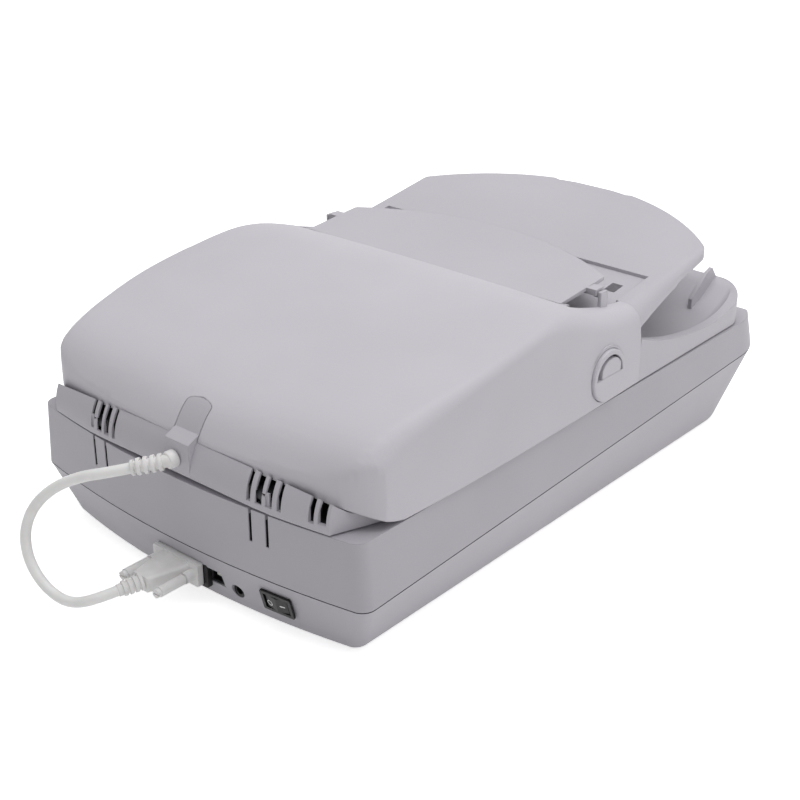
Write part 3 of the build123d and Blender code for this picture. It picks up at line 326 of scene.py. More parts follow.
def hollow_shade_share(tree, position, wall):
    # 1 behind a slotted rear wall, where the painted shade goes, 0 on its face and elsewhere
    face, bow, lean_from, lean, bottom, top, half = wall
    x, y, z = add_node(tree, "ShaderNodeSeparateXYZ", links={0: position}).outputs
    depth = worked(tree, "ADD", y, worked(tree, "MULTIPLY", worked(tree, "MULTIPLY", x, x), 1 / (bow * MM)))
    over = worked(tree, "MAXIMUM", worked(tree, "SUBTRACT", z, lean_from * MM), 0.0)
    depth = worked(tree, "ADD", depth, worked(tree, "MULTIPLY", over, lean))
    share = worked(tree, "LESS_THAN", depth, face * MM)
    for operation, value, limit in (("GREATER_THAN", y, hollow_from), ("GREATER_THAN", z, bottom),
                                    ("LESS_THAN", z, top), ("LESS_THAN", worked(tree, "ABSOLUTE", x, 0.0), half)):
        share = worked(tree, "MULTIPLY", share, worked(tree, operation, value, limit * MM))
    return share


def seam_shade_share(tree, position):
    # 1 on the seam between the two housings and a little past its gap, where the painted shade goes
    x, y, z = add_node(tree, "ShaderNodeSeparateXYZ", links={0: position}).outputs
    height = worked(tree, "ADD", z, worked(tree, "MULTIPLY", y, parting_slope))
    off = worked(tree, "ABSOLUTE", worked(tree, "SUBTRACT", height, (parting_height - parting_gap / 2) * MM), 0.0)
    return worked(tree, "LESS_THAN", off, (parting_gap / 2 + parting_shade) * MM)


# Materials

def moulded_abs(name, low, high, grain_mm=0.9, edge_mm=0.7, hollow=None, seam=False):
    # injection-moulded ABS from a spark-eroded tool: a fine even grain that breaks up the highlight,
    # and edges that the tool leaves slightly round. The real grain is about 0.15 mm and is drawn
    # coarser so that it shows.
    material, tree, shader = new_material(name, IOR=1.54)
    position = object_position(tree)
    colour = tinted(tree, position, low, high, 160.0)
    # painted shade: near black behind the slotted walls
    if hollow:
        colour = mixed(tree, hollow_shade_share(tree, position, hollow), colour, hollow_shade_colour)
    # painted shade: a dark line along the seam, a little wider than its gap
    if seam:
        colour = mixed(tree, seam_shade_share(tree, position), colour, seam_shade_colour)
    tree.links.new(colour, shader.inputs["Base Color"])
    grain = noise(tree, position, grain_mm)
    wear = noise(tree, position, 35.0, 4.0)
    tree.links.new(ranged(tree, wear, 0.5, 0.62), shader.inputs["Roughness"])
    tree.links.new(bumped(tree, grain, 0.02, 0.3, rounded(tree, edge_mm)), shader.inputs["Normal"])
    return material


def cable_jacket(name, low, high):
    # soft PVC jacket, extruded: a waxy sheen and a fine even ripple
    material, tree, shader = new_material(name, IOR=1.53, Roughness=0.42, Subsurface_Weight=0.06,
                                          Subsurface_Scale=0.003)
    position = object_position(tree)
    tree.links.new(tinted(tree, position, low, high, 14.0), shader.inputs["Base Color"])
    tree.links.new(bumped(tree, noise(tree, position, 2.5), 0.05, 0.3), shader.inputs["Normal"])
    return material


def overmoulded_pvc(name, low, high):
    # PVC moulded round the cable's ends, also the pulleys' nylon and the backing foam: matt and slightly uneven
    material, tree, shader = new_material(name, IOR=1.53, Subsurface_Weight=0.04, Subsurface_Scale=0.002)
    position = object_position(tree)
    tree.links.new(tinted(tree, position, low, high, 9.0), shader.inputs["Base Color"])
    skin = noise(tree, position, 0.8, 3.0)
    tree.links.new(ranged(tree, skin, 0.42, 0.6), shader.inputs["Roughness"])
    tree.links.new(bumped(tree, skin, 0.04, 0.3, rounded(tree, 0.6)), shader.inputs["Normal"])
    return material


def black_nylon(name, low="#0C0B0D", high="#151417"):
    # glass-filled nylon: near black, satin, with a tight grain
    material, tree, shader = new_material(name, IOR=1.53, Specular_IOR_Level=0.3)
    position = object_position(tree)
    tree.links.new(tinted(tree, position, low, high, 5.0), shader.inputs["Base Color"])
    grain = noise(tree, position, 0.5)
    tree.links.new(ranged(tree, grain, 0.38, 0.52), shader.inputs["Roughness"])
    tree.links.new(bumped(tree, grain, 0.02, 0.3), shader.inputs["Normal"])
    return material


def pad_print(name, low, high):
    # pad-printed ink: flat, slightly uneven in its cover
    material, tree, shader = new_material(name, IOR=1.5, Roughness=0.5)
    tree.links.new(tinted(tree, object_position(tree), low, high, 0.8), shader.inputs["Base Color"])
    return material


def natural_rubber(name, low, high, grip_mm=1.2):
    # cast rubber, ground to size: dull, with a fine pitted grain
    material, tree, shader = new_material(name, IOR=1.52)
    position = object_position(tree)
    tree.links.new(tinted(tree, position, low, high, 8.0), shader.inputs["Base Color"])
    pits = add_node(tree, "ShaderNodeTexVoronoi", {"Scale": grains_per_metre(grip_mm)},
                    {"Vector": position}).outputs["Distance"]
    tree.links.new(ranged(tree, pits, 0.75, 0.92), shader.inputs["Roughness"])
    tree.links.new(bumped(tree, pits, 0.06, 0.4), shader.inputs["Normal"])
    return material


def drawn_steel(name, low="#8E9094", high="#B9BBBE"):
    # bright drawn steel: long fine lines along the guide rod
    material, tree, shader = new_material(name, Metallic=1.0)
    position = object_position(tree)
    stretched = add_node(tree, "ShaderNodeMapping", {"Scale": (1.0, 0.05, 1.0)}, {"Vector": position})
    lines = noise(tree, stretched.outputs["Vector"], 0.6, 3.0)
    tree.links.new(tinted(tree, position, low, high, 20.0), shader.inputs["Base Color"])
    tree.links.new(ranged(tree, lines, 0.18, 0.36), shader.inputs["Roughness"])
    tree.links.new(bumped(tree, lines, 0.01, 0.3), shader.inputs["Normal"])
    return material


def nickel_plate(name, low="#85868A", high="#A5A6A9"):
    # a bright cloudy plating: nickel grey, unless the colours are those of zinc or gold
    material, tree, shader = new_material(name, Metallic=1.0)
    position = object_position(tree)
    tree.links.new(tinted(tree, position, low, high, 3.0), shader.inputs["Base Color"])
    tree.links.new(ranged(tree, noise(tree, position, 1.6, 4.0), 0.24, 0.45), shader.inputs["Roughness"])
    return material


def float_glass(name):
    # float glass: clear, a trace of green, with faint wiping marks in the gloss
    material, tree, shader = new_material(name, IOR=1.52, Transmission_Weight=1.0)
    position = object_position(tree)
    tree.links.new(tinted(tree, position, "#E9F2EE", "#F3F8F6", 80.0), shader.inputs["Base Color"])
    tree.links.new(ranged(tree, noise(tree, position, 25.0, 5.0), 0.01, 0.06), shader.inputs["Roughness"])
    return material


def solder_mask(name):
    # fibreglass board under green lacquer, with thin copper runs that show through
    material, tree, shader = new_material(name, IOR=1.5)
    position = object_position(tree)
    runs = add_node(tree, "ShaderNodeTexBrick", {
        "Scale": 1.0, "Brick Width": 9 * MM, "Row Height": 3 * MM, "Mortar Size": 0.35 * MM,
        "Color1": linear("#255233"), "Color2": linear("#2C5E3B"), "Mortar": linear("#3F7A4C")},
        {"Vector": position})
    tree.links.new(runs.outputs["Color"], shader.inputs["Base Color"])
    tree.links.new(ranged(tree, runs.outputs["Fac"], 0.35, 0.22), shader.inputs["Roughness"])
    return material


def lamp_glass(name):
    # opal tube of a cold-cathode lamp, unlit
    material, tree, shader = new_material(name, IOR=1.5, Transmission_Weight=0.25)
    position = object_position(tree)
    tree.links.new(tinted(tree, position, "#EDEBE2", "#F8F7F2", 12.0), shader.inputs["Base Color"])
    tree.links.new(ranged(tree, noise(tree, position, 4.0), 0.15, 0.3), shader.inputs["Roughness"])
    return material


finishes = {}


def finish_named(slot_name):
    # each finish is made once, under the record's own name for it
    makers = {
        # one pale ABS in every shell: the upright base and lid get darker tones, the cover and trays lighter ones, as
        # painted shade and painted light
        "base_plastic": lambda: moulded_abs("base_abs", "#B3B0B7", "#B8B5BC", hollow=base_hollow, seam=True),
        "lid_plastic": lambda: moulded_abs("lid_abs", "#B8B5BC", "#BDBAC1", hollow=band_hollow),
        "cover_plastic": lambda: moulded_abs("cover_abs", "#C6C3CA", "#CCC9D0", edge_mm=1.6),
        "tray_plastic": lambda: moulded_abs("tray_abs", "#BFBCC3", "#C4C1C8"),
        "button_plastic": lambda: moulded_abs("button_abs", "#9E9BA3", "#A6A3AB", 0.6),
        "hinge_plastic": lambda: moulded_abs("hinge_acetal", "#1E1D20", "#27262A", 0.7),
        "dark_plastic": lambda: moulded_abs("guide_abs", "#232326", "#2B2B2F", 0.8),
        "white_print": lambda: pad_print("white_pad_print", "#E6E6E4", "#EFEFED"),
        "gold_contact": lambda: nickel_plate("gold_flash", "#B4924A", "#CBA95C"),
        "white_nylon": lambda: overmoulded_pvc("pulley_nylon", "#DEDDD6", "#EAE9E3"),
        "white_pad": lambda: overmoulded_pvc("backing_foam", "#EEEEEB", "#F6F6F4"),
        "foot_rubber": lambda: natural_rubber("foot_rubber", "#222224", "#2E2E31"),
        "belt_rubber": lambda: natural_rubber("belt_rubber", "#1A1A1C", "#242426", 0.8),
        "roller_rubber": lambda: natural_rubber("roller_rubber", "#434347", "#4F4F54", 0.9),
        "polished_steel": lambda: drawn_steel("ground_steel"),
        "plated_steel": lambda: nickel_plate("zinc_plate", "#8F9194", "#ACAEB0"),
        "socket_shell": lambda: nickel_plate("nickel_shell"),
        "clear_glass": lambda: float_glass("float_glass"),
        "lamp_glass": lambda: lamp_glass("opal_glass"),
        "circuit_board": lambda: solder_mask("solder_mask"),
        "switch_plastic": lambda: black_nylon("switch_nylon"),
        "plug_plastic": lambda: overmoulded_pvc("plug_pvc", "#E8E7E6", "#F1F0F0"),
        "cord_jacket": lambda: cable_jacket("jacket_pvc", "#EEEEED", "#F5F5F4"),
    }
    if slot_name not in finishes:
        finishes[slot_name] = makers[slot_name]()
    return finishes[slot_name]


def slot_of(node_name):
    return next(part["material_slot"] for part in frame["record"]["subparts"] if part["node"] == node_name)


# Mesh helpers

def link(name, mesh, material, body):
    piece = bpy.data.objects.new(name, mesh)
    bpy.context.scene.collection.objects.link(piece)
    mesh.materials.clear()
    mesh.materials.append(material)
    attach(piece, body)
    return piece


def smooth_by_angle(mesh, degrees):
    # smooth faces, with a hard edge wherever two of them meet at more than the angle
    made = bmesh.new()
    made.from_mesh(mesh)
    for face in made.faces:
        face.smooth = True
    for edge in made.edges:
        edge.smooth = len(edge.link_faces) == 2 and edge.calc_face_angle(0) < radians(degrees)
    made.to_mesh(mesh)
    made.free()


def clamped(value):
    # a share, kept between 0 and 1
    return min(max(value, 0.0), 1.0)


def eased(table, along):
    # a smooth line through the rows of a table
    along = min(max(along, table[0][0]), table[-1][0])
    index = next(i for i in range(len(table) - 1) if along <= table[i + 1][0])
    (start, low), (end, high) = table[index], table[index + 1]
    before = table[max(index - 1, 0)]
    after = table[min(index + 2, len(table) - 1)]
    step = end - start
    rise = (high - before[1]) / (end - before[0]) * step
    fall = (after[1] - low) / (after[0] - start) * step
    t = (along - start) / step
    return ((2 * t ** 3 - 3 * t ** 2 + 1) * low + (t ** 3 - 2 * t ** 2 + t) * rise
            + (3 * t ** 2 - 2 * t ** 3) * high + (t ** 3 - t ** 2) * fall)


def rolled(place, share, side_share):
    # a point of the cover or boss, in millimetres, moved with the shorter boss and the soft rear roll
    x, y, z = place
    if y < boss_front:
        slide = (y - boss_stretch_front) / (boss_front - boss_stretch_front)
    else:
        slide = (cover_rear - x * x / cover_bow - y) / (cover_rear - boss_front)
    moved = y + (boss_new_front - boss_front) * max(slide, 0.0) * side_share
    lift = eased(cover_heights, moved) - eased(cover_heights, y) + eased(rear_roll, moved + x * x / roll_bow)
    return Vector((x, moved, z + lift * share))


def cut_across(made, axis, places, rear_of):
    # cuts the faces behind a line with flat planes, so that they can bend
    normal = Vector((0, 0, 0))
    normal[axis] = 1
    for place in places:
        near = [face for face in made.faces if max(v.co.y for v in face.verts) > rear_of * MM]
        parts = set(near) | {e for f in near for e in f.edges} | {v for f in near for v in f.verts}
        bmesh.ops.bisect_plane(made, geom=list(parts), plane_co=normal * place * MM, plane_no=normal)


def roll_cover(made):
    # the cover's rear stretches with the boss and bends into its roll, once it is cut finely enough
    cut_across(made, 1, depth_cuts, boss_stretch_front)
    cut_across(made, 0, across_cuts, boss_stretch_front)
    for vertex in made.verts:
        x, y, z = vertex.co / MM
        if y <= cover_from:
            continue
        share = clamped((z - cover_foot) / (eased(cover_heights, y) - cover_foot))
        off = clamped((abs(x - boss_x) - boss_stretch_near) / (boss_stretch_side - boss_stretch_near))
        vertex.co = rolled((x, y, z), share, 1 - off * off * (3 - 2 * off)) * MM
    cut_across(made, 2, height_cuts, height_cuts_from)
    soften_corners(made)


def soften_corners(made):
    # the cover's rear corners, where its crease runs into the roll, blend over a few centimetres
    for _ in range(corner_turns):
        moved = {}
        for vertex in made.verts:
            x, y, z = vertex.co / MM
            share = 1.0
            for along, start, over in zip((y, abs(x), z), corner_from, corner_over):
                share *= clamped((along - start) / over)
            if share and len(vertex.link_edges) > 2:
                around = sum((edge.other_vert(vertex).co for edge in vertex.link_edges), Vector()) / len(
                    vertex.link_edges)
                moved[vertex] = vertex.co.lerp(around, 0.5 * share)
        for vertex, place in moved.items():
            vertex.co = place


def shorten_boss(made):
    # the boss gets the same shorter outline as the slot in the cover, and its rear end rises a little
    for vertex in made.verts:
        x, y, z = vertex.co / MM
        if abs(x - boss_x) >= boss_half + boss_side_slack:
            continue
        if y > boss_rear and z > boss_lift_from and (z > band_top or y > band_rear):
            vertex.co.z += clamped((z - boss_lift_from) / boss_lift_over) * boss_rear_lift * MM
        elif boss_front - boss_front_slack < y < boss_rear and z > boss_foot:
            share = clamped((z - boss_foot) / (eased(cover_heights, y) - boss_foot))
            vertex.co = rolled((x, y, z), share, 1.0) * MM


def draw_out_knob(made):
    # the knob's grip stands out of its ring
    for vertex in made.verts:
        vertex.co.x -= clamped((-vertex.co.x / MM - knob_rim) / knob_over) * knob_draw * MM


def open_seam(made):
    # the lower housing's rim drops a little, which leaves a dark line under the upper one
    for vertex in made.verts:
        if abs(vertex.co.z / MM - parting_height + parting_slope * vertex.co.y / MM) < parting_reach:
            vertex.co.z -= parting_gap * MM


def merged_copy(node_name, piece_name, degrees, reshape):
    # the CAD mesh with its doubled points merged, smooth across gentle edges
    mesh = nodes[node_name].data.copy()
    made = bmesh.new()
    made.from_mesh(mesh)
    bmesh.ops.remove_doubles(made, verts=made.verts, dist=weld_distance)
    bmesh.ops.dissolve_degenerate(made, edges=made.edges, dist=sliver_length)
    if reshape:
        reshape(made)
    made.to_mesh(mesh)
    made.free()
    smooth_by_angle(mesh, degrees)
    if mesh.attributes.get("custom_normal"):
        mesh.attributes.remove(mesh.attributes["custom_normal"])
    slot_name = slot_of(node_name)
    piece = link(piece_name, mesh, finish_named(slot_name), nodes[node_name]["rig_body"])
    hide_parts(node_name)


# CAD shells shown as smooth copies: the node, the copy's name, the angle below which its faces blend, and how
# its shape is brought nearer to the real one
smooth_shells = (
    ("base_lower_housing", "lower_housing_shell", 24.0, open_seam),
    ("base_upper_housing", "upper_housing_shell", 24.0, None),
    ("lid_lower_body", "lid_body_shell", 24.0, shorten_boss),
    ("top_cover", "cover_shell", 32.0, roll_cover),
    ("input_tray", "input_tray_shell", 24.0, None),
    ("output_tray", "output_tray_shell", 24.0, None),
    ("access_hatch", "hatch_shell", 24.0, None),
    ("feed_knob", "knob_shell", 24.0, draw_out_knob),
)


# Sizes and colours that a user would change

class SCANNER_PG_stage(bpy.types.PropertyGroup):
    floor_colour: FloatVectorProperty(name="Floor colour", description="Colour of the table and the backdrop",
                                      default=linear("#FFFFFF")[:3], subtype="COLOR", size=3, min=0, max=1)
    camera_distance: FloatProperty(name="Camera distance", description="From the camera to the scanner's middle",
                                   default=1.1704, unit="LENGTH")
    camera_azimuth: FloatProperty(name="Camera azimuth", description="Turn of the camera round the scanner",
                                  default=radians(220.82), unit="ROTATION")
    camera_height: FloatProperty(name="Camera elevation", description="Tilt of the camera above the table",
                                 default=radians(25.65), unit="ROTATION")


class SCANNER_PG_cable(bpy.types.PropertyGroup):
    radius: FloatProperty(name="Cable radius", description="Outer radius of the cable's jacket", default=3.65 * MM,
                          unit="LENGTH")
    length: FloatProperty(name="Cable length", description="Length of the free cable between its two sleeves",
                          default=0.190, unit="LENGTH")


class SCANNER_OT_stage(bpy.types.Operator):
    """Lay the floor, the soft lights and the camera"""
    bl_idname = "scanner.stage"
    bl_label = "Stage"

    def execute(self, context):
        settings = context.scene.scanner_stage
        lay_floor(settings)
        hang_lights()
        place_camera(settings)
        return {"FINISHED"}


# The studio, in metres and watts: the floor's half width, how bright the floor and the sky are where they are seen,
# how bright the sky is as a light, and the soft lights as name, place, edge length and power, with their common aim
floor_half = 6.0
floor_glow = 0.7
sky_seen = 1.0
sky_light = 0.36
softboxes = (
    ("top_softbox", (-0.2, -0.1, 1.7), 1.6, 17.5),
    ("side_softbox", (-1.7, -0.5, 0.9), 1.1, 3.2),
)
softbox_aim = (0, 0, 0.1)


def seen_directly(tree):
    # 1 where the camera sees a surface, also mirrored or through glass, 0 where the surface only gives light
    rays = add_node(tree, "ShaderNodeLightPath").outputs
    seen = worked(tree, "MAXIMUM", rays["Is Camera Ray"], rays["Is Glossy Ray"])
    return worked(tree, "MAXIMUM", seen, rays["Is Transmission Ray"])


def lay_floor(settings):
    made = bmesh.new()
    bmesh.ops.create_grid(made, x_segments=1, y_segments=1, size=floor_half)
    mesh = bpy.data.meshes.new("table")
    made.to_mesh(mesh)
    made.free()
    table = bpy.data.objects.new("table", mesh)
    bpy.context.scene.collection.objects.link(table)
    # white paper sweep: it catches a soft shadow and is otherwise as white as the backdrop
    material, tree, shader = new_material("white_sweep", Roughness=1.0, Specular_IOR_Level=0.0)
    shader.inputs["Base Color"].default_value = (*settings.floor_colour, 1.0)
    shader.inputs["Emission Color"].default_value = (1, 1, 1, 1)
    glow = worked(tree, "MULTIPLY", seen_directly(tree), floor_glow)
    tree.links.new(glow, shader.inputs["Emission Strength"])
    mesh.materials.append(material)


def hang_lights():
    world = bpy.data.worlds.new("studio")
    bpy.context.scene.world = world
    world.use_nodes = True
    tree = world.node_tree
    tree.nodes.clear()
    strength = ranged(tree, seen_directly(tree), sky_light, sky_seen)
    sky = add_node(tree, "ShaderNodeBackground", {"Color": (1, 1, 1, 1)}, {"Strength": strength})
    add_node(tree, "ShaderNodeOutputWorld", links={"Surface": sky.outputs[0]})
    for name, place, size, watts in softboxes:
        lamp = bpy.data.lights.new(name, "AREA")
        lamp.shape = "SQUARE"
        lamp.size = size
        lamp.energy = watts
        holder = bpy.data.objects.new(name, lamp)
        facing = (Vector(place) - Vector(softbox_aim)).to_track_quat("Z", "Y").to_matrix().to_4x4()
        holder.matrix_world = Matrix.Translation(place) @ facing
        bpy.context.scene.collection.objects.link(holder)


# The photograph's framing: the sensor and the lens, and how far the view is shifted from the scanner's middle
sensor_mm = 36.0
lens_mm = 66.98
view_aside = -0.0242
view_raised = 0.0414
view_origin = Vector((0.0, -0.0036, 0.0025))


def place_camera(settings):
    turn = settings.camera_azimuth
    tilt = settings.camera_height
    back = Vector((sin(turn) * cos(tilt), -cos(turn) * cos(tilt), sin(tilt)))
    aside = Vector((cos(turn), sin(turn), 0.0))
    up = back.cross(aside)
    lens = bpy.data.cameras.new("photo_view")
    lens.lens = lens_mm
    lens.sensor_width = sensor_mm
    lens.sensor_fit = "HORIZONTAL"
    lens.clip_start = 0.01
    camera = bpy.data.objects.new("photo_view", lens)
    facing = Matrix((aside, up, back)).transposed().to_4x4()
    place = back * settings.camera_distance + aside * view_aside + up * view_raised + view_origin
    camera.matrix_world = Matrix.Translation(place) @ facing
    bpy.context.scene.collection.objects.link(camera)
    bpy.context.scene.camera = camera
    bpy.context.scene.view_settings.view_transform = "Standard"


class SCANNER_OT_finishes(bpy.types.Operator):
    """Give every CAD piece the finish that the record names for it"""
    bl_idname = "scanner.finishes"
    bl_label = "Finishes"

    def execute(self, context):
        for name, piece in nodes.items():
            material = finish_named(slot_of(name))
            for holder in piece.material_slots:
                holder.material = material
        return {"FINISHED"}


class SCANNER_OT_shells(bpy.types.Operator):
    """Smooth the moulded shells, so that their edges are soft and their curves unbroken"""
    bl_idname = "scanner.shells"
    bl_label = "Shells"

    def execute(self, context):
        for node_name, piece_name, degrees, reshape in smooth_shells:
            merged_copy(node_name, piece_name, degrees, reshape)
        return {"FINISHED"}


class SCANNER_OT_cable(bpy.types.Operator):
    """Lay the short cable from the lid's sleeve to the plug's boot"""
    bl_idname = "scanner.cable"
    bl_label = "Cable"

    def execute(self, context):
        settings = context.scene.scanner_cable
        curve = bpy.data.curves.new("feeder_cable", "CURVE")
        curve.dimensions = "3D"
        spline = curve.splines.new("NURBS")
        spline.points.add(len(cable_route) - 1)
        for point, place in zip(spline.points, cable_route):
            point.co = (*(Vector(place) * MM), 1.0)
        spline.order_u = 3
        spline.use_endpoint_u = True
        spline.resolution_u = 12
        curve.bevel_depth = settings.radius
        curve.bevel_resolution = 6
        curve.use_fill_caps = True
        curve.materials.append(finish_named("cord_jacket"))
        cable = bpy.data.objects.new("feeder_cable", curve)
        context.scene.collection.objects.link(cable)
        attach(cable, nodes["feeder_cord"]["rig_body"])
        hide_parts("feeder_cord")
        return {"FINISHED"}


def bridged(made, pairs):
    # a band of faces between the two outlines of each pair
    for first, second in pairs:
        for i in range(len(first)):
            j = (i + 1) % len(first)
            made.faces.new((first[i], first[j], second[j], second[i]))


def closed_mesh(name, made):
    # the mesh of a closed shape, with its faces turned outwards
    bmesh.ops.recalc_face_normals(made, faces=made.faces)
    mesh = bpy.data.meshes.new(name)
    made.to_mesh(mesh)
    made.free()
    return mesh


def smooth_mesh(name, made):
    mesh = closed_mesh(name, made)
    smooth_by_angle(mesh, 30.0)
    return mesh


def circle(middle, radius):
    # a round outline, as (across, up) pairs
    turns = [2 * pi * i / round_steps for i in range(round_steps)]
    return [(middle[0] + radius * cos(turn), middle[1] + radius * sin(turn)) for turn in turns]


def rounded_outline(half_width, half_height, radius, steps=4):
    # a rectangle with round corners, as (across, up) pairs
    line = []
    for turn, (side, top) in enumerate(((1, 1), (-1, 1), (-1, -1), (1, -1))):
        for step in range(steps + 1):
            angle = pi / 2 * (turn + step / steps)
            line.append((side * (half_width - radius) + radius * cos(angle),
                         top * (half_height - radius) + radius * sin(angle)))
    return line


def run_through(name, centre, face, rows, finish, body):
    # a closed shape through the rows' outlines, at their distances behind a face; the first and the last are capped
    made = bmesh.new()
    loops = [[made.verts.new(Vector((centre[0] + across, face - behind, centre[1] + up)) * MM)
              for across, up in rounded_outline(*sizes)] for behind, sizes in rows]
    bridged(made, zip(loops, loops[1:]))
    made.faces.new(loops[0])
    made.faces.new(loops[-1][::-1])
    return link(name, smooth_mesh(name, made), finish_named(finish), body)


class SCANNER_OT_sockets(bpy.types.Operator):
    """Build the data socket's shell, lining, tongue and contacts, and the frame behind the plug"""
    bl_idname = "scanner.sockets"
    bl_label = "Sockets"

    def execute(self, context):
        body = nodes["usb_socket"]["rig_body"]
        shell = run_through("usb_shell", (usb_x, usb_z), usb_mouth, usb_shell_rows, "socket_shell", body)
        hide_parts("usb_socket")
        run_through("usb_lining", (usb_x, usb_z), usb_mouth, usb_lining_rows, "switch_plastic", body)
        run_through("usb_tongue", (usb_x, usb_z + usb_tongue_up), usb_mouth, usb_tongue_rows, "white_nylon", body)
        for number, (across, up) in enumerate(usb_contact_places, start=1):
            run_through(f"usb_contact_{number}", (usb_x + across, usb_z + up), usb_mouth, usb_contact_rows,
                        "gold_contact", body)
        run_through("plug_frame", (plug_x + plug_frame_aside, plug_z), plug_face, plug_frame_rows, "switch_plastic",
                    body)
        return {"FINISHED"}


def rib_tree():
    # rings in a row along Z, with their sizes as named inputs
    tree = bpy.data.node_groups.new("sleeve_ribs", "GeometryNodeTree")
    sockets = tree.interface
    sockets.new_socket(name="Geometry", in_out="INPUT", socket_type="NodeSocketGeometry")
    for name in ("Radius", "Rib width", "Rib depth", "Spacing"):
        sockets.new_socket(name=name, in_out="INPUT", socket_type="NodeSocketFloat")
    sockets.new_socket(name="Count", in_out="INPUT", socket_type="NodeSocketInt")
    sockets.new_socket(name="Geometry", in_out="OUTPUT", socket_type="NodeSocketGeometry")
    fed = add_node(tree, "NodeGroupInput").outputs
    path = add_node(tree, "GeometryNodeCurvePrimitiveCircle", {"Resolution": round_steps}, {"Radius": fed["Radius"]})
    profile = add_node(tree, "GeometryNodeCurvePrimitiveQuadrilateral", links={
        "Width": fed["Rib depth"], "Height": fed["Rib width"]})
    round_profile = add_node(tree, "GeometryNodeFilletCurve", {"Radius": rib_rounding * MM, "Count": 3},
                             {"Curve": profile.outputs["Curve"]}, mode="POLY")
    ring = add_node(tree, "GeometryNodeCurveToMesh", links={
        "Curve": path.outputs["Curve"], "Profile Curve": round_profile.outputs["Curve"]})
    step = add_node(tree, "ShaderNodeCombineXYZ", links={"Z": fed["Spacing"]})
    line = add_node(tree, "GeometryNodeMeshLine", links={"Count": fed["Count"], "Offset": step.outputs[0]})
    rings = add_node(tree, "GeometryNodeInstanceOnPoints", links={
        "Points": line.outputs["Mesh"], "Instance": ring.outputs["Mesh"]})
    solid = add_node(tree, "GeometryNodeRealizeInstances", links={"Geometry": rings.outputs["Instances"]})
    finished = add_node(tree, "GeometryNodeSetMaterial", {"Material": finish_named("plug_plastic")},
                        {"Geometry": solid.outputs["Geometry"]})
    add_node(tree, "NodeGroupOutput", links={"Geometry": finished.outputs["Geometry"]})
    return tree


def turned(name, start, axis, profile):
    # a solid of revolution about an axis, from (distance, radius) pairs, capped at both ends
    made = bmesh.new()
    turn = axis.to_track_quat("Z", "Y")
    loops = [[made.verts.new((start + turn @ Vector((across, up, distance))) * MM)
              for across, up in circle((0, 0), radius)] for distance, radius in profile]
    bridged(made, zip(loops, loops[1:]))
    made.faces.new(loops[0][::-1])
    made.faces.new(loops[-1])
    return smooth_mesh(name, made)


class SCANNER_OT_sleeve(bpy.types.Operator):
    """Mould the ribbed sleeve where the cable leaves the lid"""
    bl_idname = "scanner.sleeve"
    bl_label = "Sleeve"

    def execute(self, context):
        body = nodes["strain_relief"]["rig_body"]
        root, end, following = Vector(sleeve_root), Vector(cable_route[0]), Vector(cable_route[1])
        axis = (following - end).normalized()
        bend = end - axis * sleeve_length
        inward = (bend - root).normalized()
        collar = turned("sleeve_collar", root - inward * collar_sink, inward, collar_profile)
        link("sleeve_collar", collar, finish_named("plug_plastic"), body)
        core = turned("sleeve_core", bend, axis, core_profile)
        core = link("sleeve_core", core, finish_named("plug_plastic"), body)
        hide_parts("strain_relief")
        blank = bpy.data.objects.new("rib_maker", bpy.data.meshes.new("rib_maker"))
        context.scene.collection.objects.link(blank)
        modifier = blank.modifiers.new("ribs", "NODES")
        modifier.node_group = rib_tree()
        sizes = {"Radius": rib_radius * MM, "Rib width": rib_width * MM, "Rib depth": rib_depth * MM,
                 "Spacing": rib_spacing * MM, "Count": rib_count}
        for item in modifier.node_group.interface.items_tree:
            if item.in_out == "INPUT" and item.name in sizes:
                modifier[item.identifier] = sizes[item.name]
        context.view_layer.update()
        ribs = bpy.data.meshes.new_from_object(blank.evaluated_get(context.evaluated_depsgraph_get()))
        bpy.data.objects.remove(blank)
        facing = axis.to_track_quat("Z", "Y").to_matrix().to_4x4()
        ribs.transform(Matrix.Translation((bend + axis * rib_start) * MM) @ facing)
        smooth_by_angle(ribs, 50.0)
        link("sleeve_ribs", ribs, finish_named("plug_plastic"), body)
        return {"FINISHED"}


def on_rocker(across, up, proud):
    # a place on the rocker's two tilted faces
    out = (rocker_face - abs(across) * sin(radians(rocker_tilt))) / cos(radians(rocker_tilt)) + proud
    return (Vector(rocker_pin) + Vector(rocker_across) * across + Vector(rocker_up) * up
            + Vector(rocker_out) * out) * MM


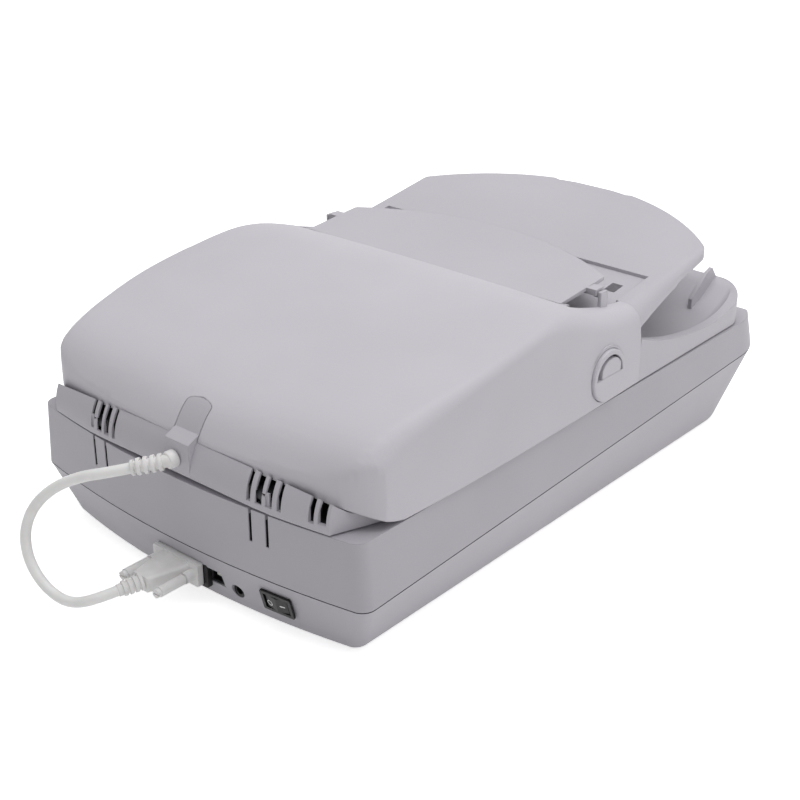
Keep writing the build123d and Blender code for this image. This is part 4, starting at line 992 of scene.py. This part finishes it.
def printed(name, outer, inner=None):
    # a thin closed print on the rocker, from an outline and, for a ring, its inner outline
    made = bmesh.new()
    ends = ((outer, ink_depth), (outer, -ink_depth), (inner, -ink_depth), (inner, ink_depth))
    loops = [[made.verts.new(on_rocker(across, up, proud)) for across, up in line] for line, proud in ends if line]
    if inner:
        bridged(made, zip(loops, loops[1:] + loops[:1]))
    else:
        bridged(made, [loops])
        made.faces.new(loops[0])
        made.faces.new(loops[1][::-1])
    link(name, closed_mesh(name, made), finish_named("white_print"), nodes["power_rocker"]["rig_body"])


class SCANNER_OT_rocker_marks(bpy.types.Operator):
    """Print the ring and the dash on the power rocker"""
    bl_idname = "scanner.rocker_marks"
    bl_label = "Rocker marks"

    def execute(self, context):
        printed("rocker_ring", *[circle(ring_middle, radius) for radius in ring_radii])
        printed("rocker_dash", dash_outline)
        return {"FINISHED"}


class SCANNER_PT_panel(bpy.types.Panel):
    """The scanner's pieces, in the order they are made"""
    bl_idname = "SCANNER_PT_panel"
    bl_label = "Document scanner"
    bl_space_type = "VIEW_3D"
    bl_region_type = "UI"
    bl_category = "Scanner"

    def draw(self, context):
        for operator in operators:
            self.layout.operator(operator.bl_idname)
        for settings in (context.scene.scanner_stage, context.scene.scanner_cable):
            for name in settings.__annotations__:
                self.layout.prop(settings, name)


operators = (SCANNER_OT_stage, SCANNER_OT_finishes, SCANNER_OT_sleeve, SCANNER_OT_cable, SCANNER_OT_shells,
             SCANNER_OT_sockets, SCANNER_OT_rocker_marks)
classes = (SCANNER_PG_stage, SCANNER_PG_cable, *operators, SCANNER_PT_panel)


def register():
    for cls in classes:
        bpy.utils.register_class(cls)
    bpy.types.Scene.scanner_stage = PointerProperty(type=SCANNER_PG_stage)
    bpy.types.Scene.scanner_cable = PointerProperty(type=SCANNER_PG_cable)


def unregister():
    del bpy.types.Scene.scanner_cable
    del bpy.types.Scene.scanner_stage
    for cls in reversed(classes):
        bpy.utils.unregister_class(cls)


def main():
    register()
    bpy.ops.scanner.stage()
    bpy.ops.scanner.finishes()
    bpy.ops.scanner.sleeve()
    bpy.ops.scanner.cable()
    bpy.ops.scanner.shells()
    bpy.ops.scanner.sockets()
    bpy.ops.scanner.rocker_marks()


if __name__ == "__main__":
    main()
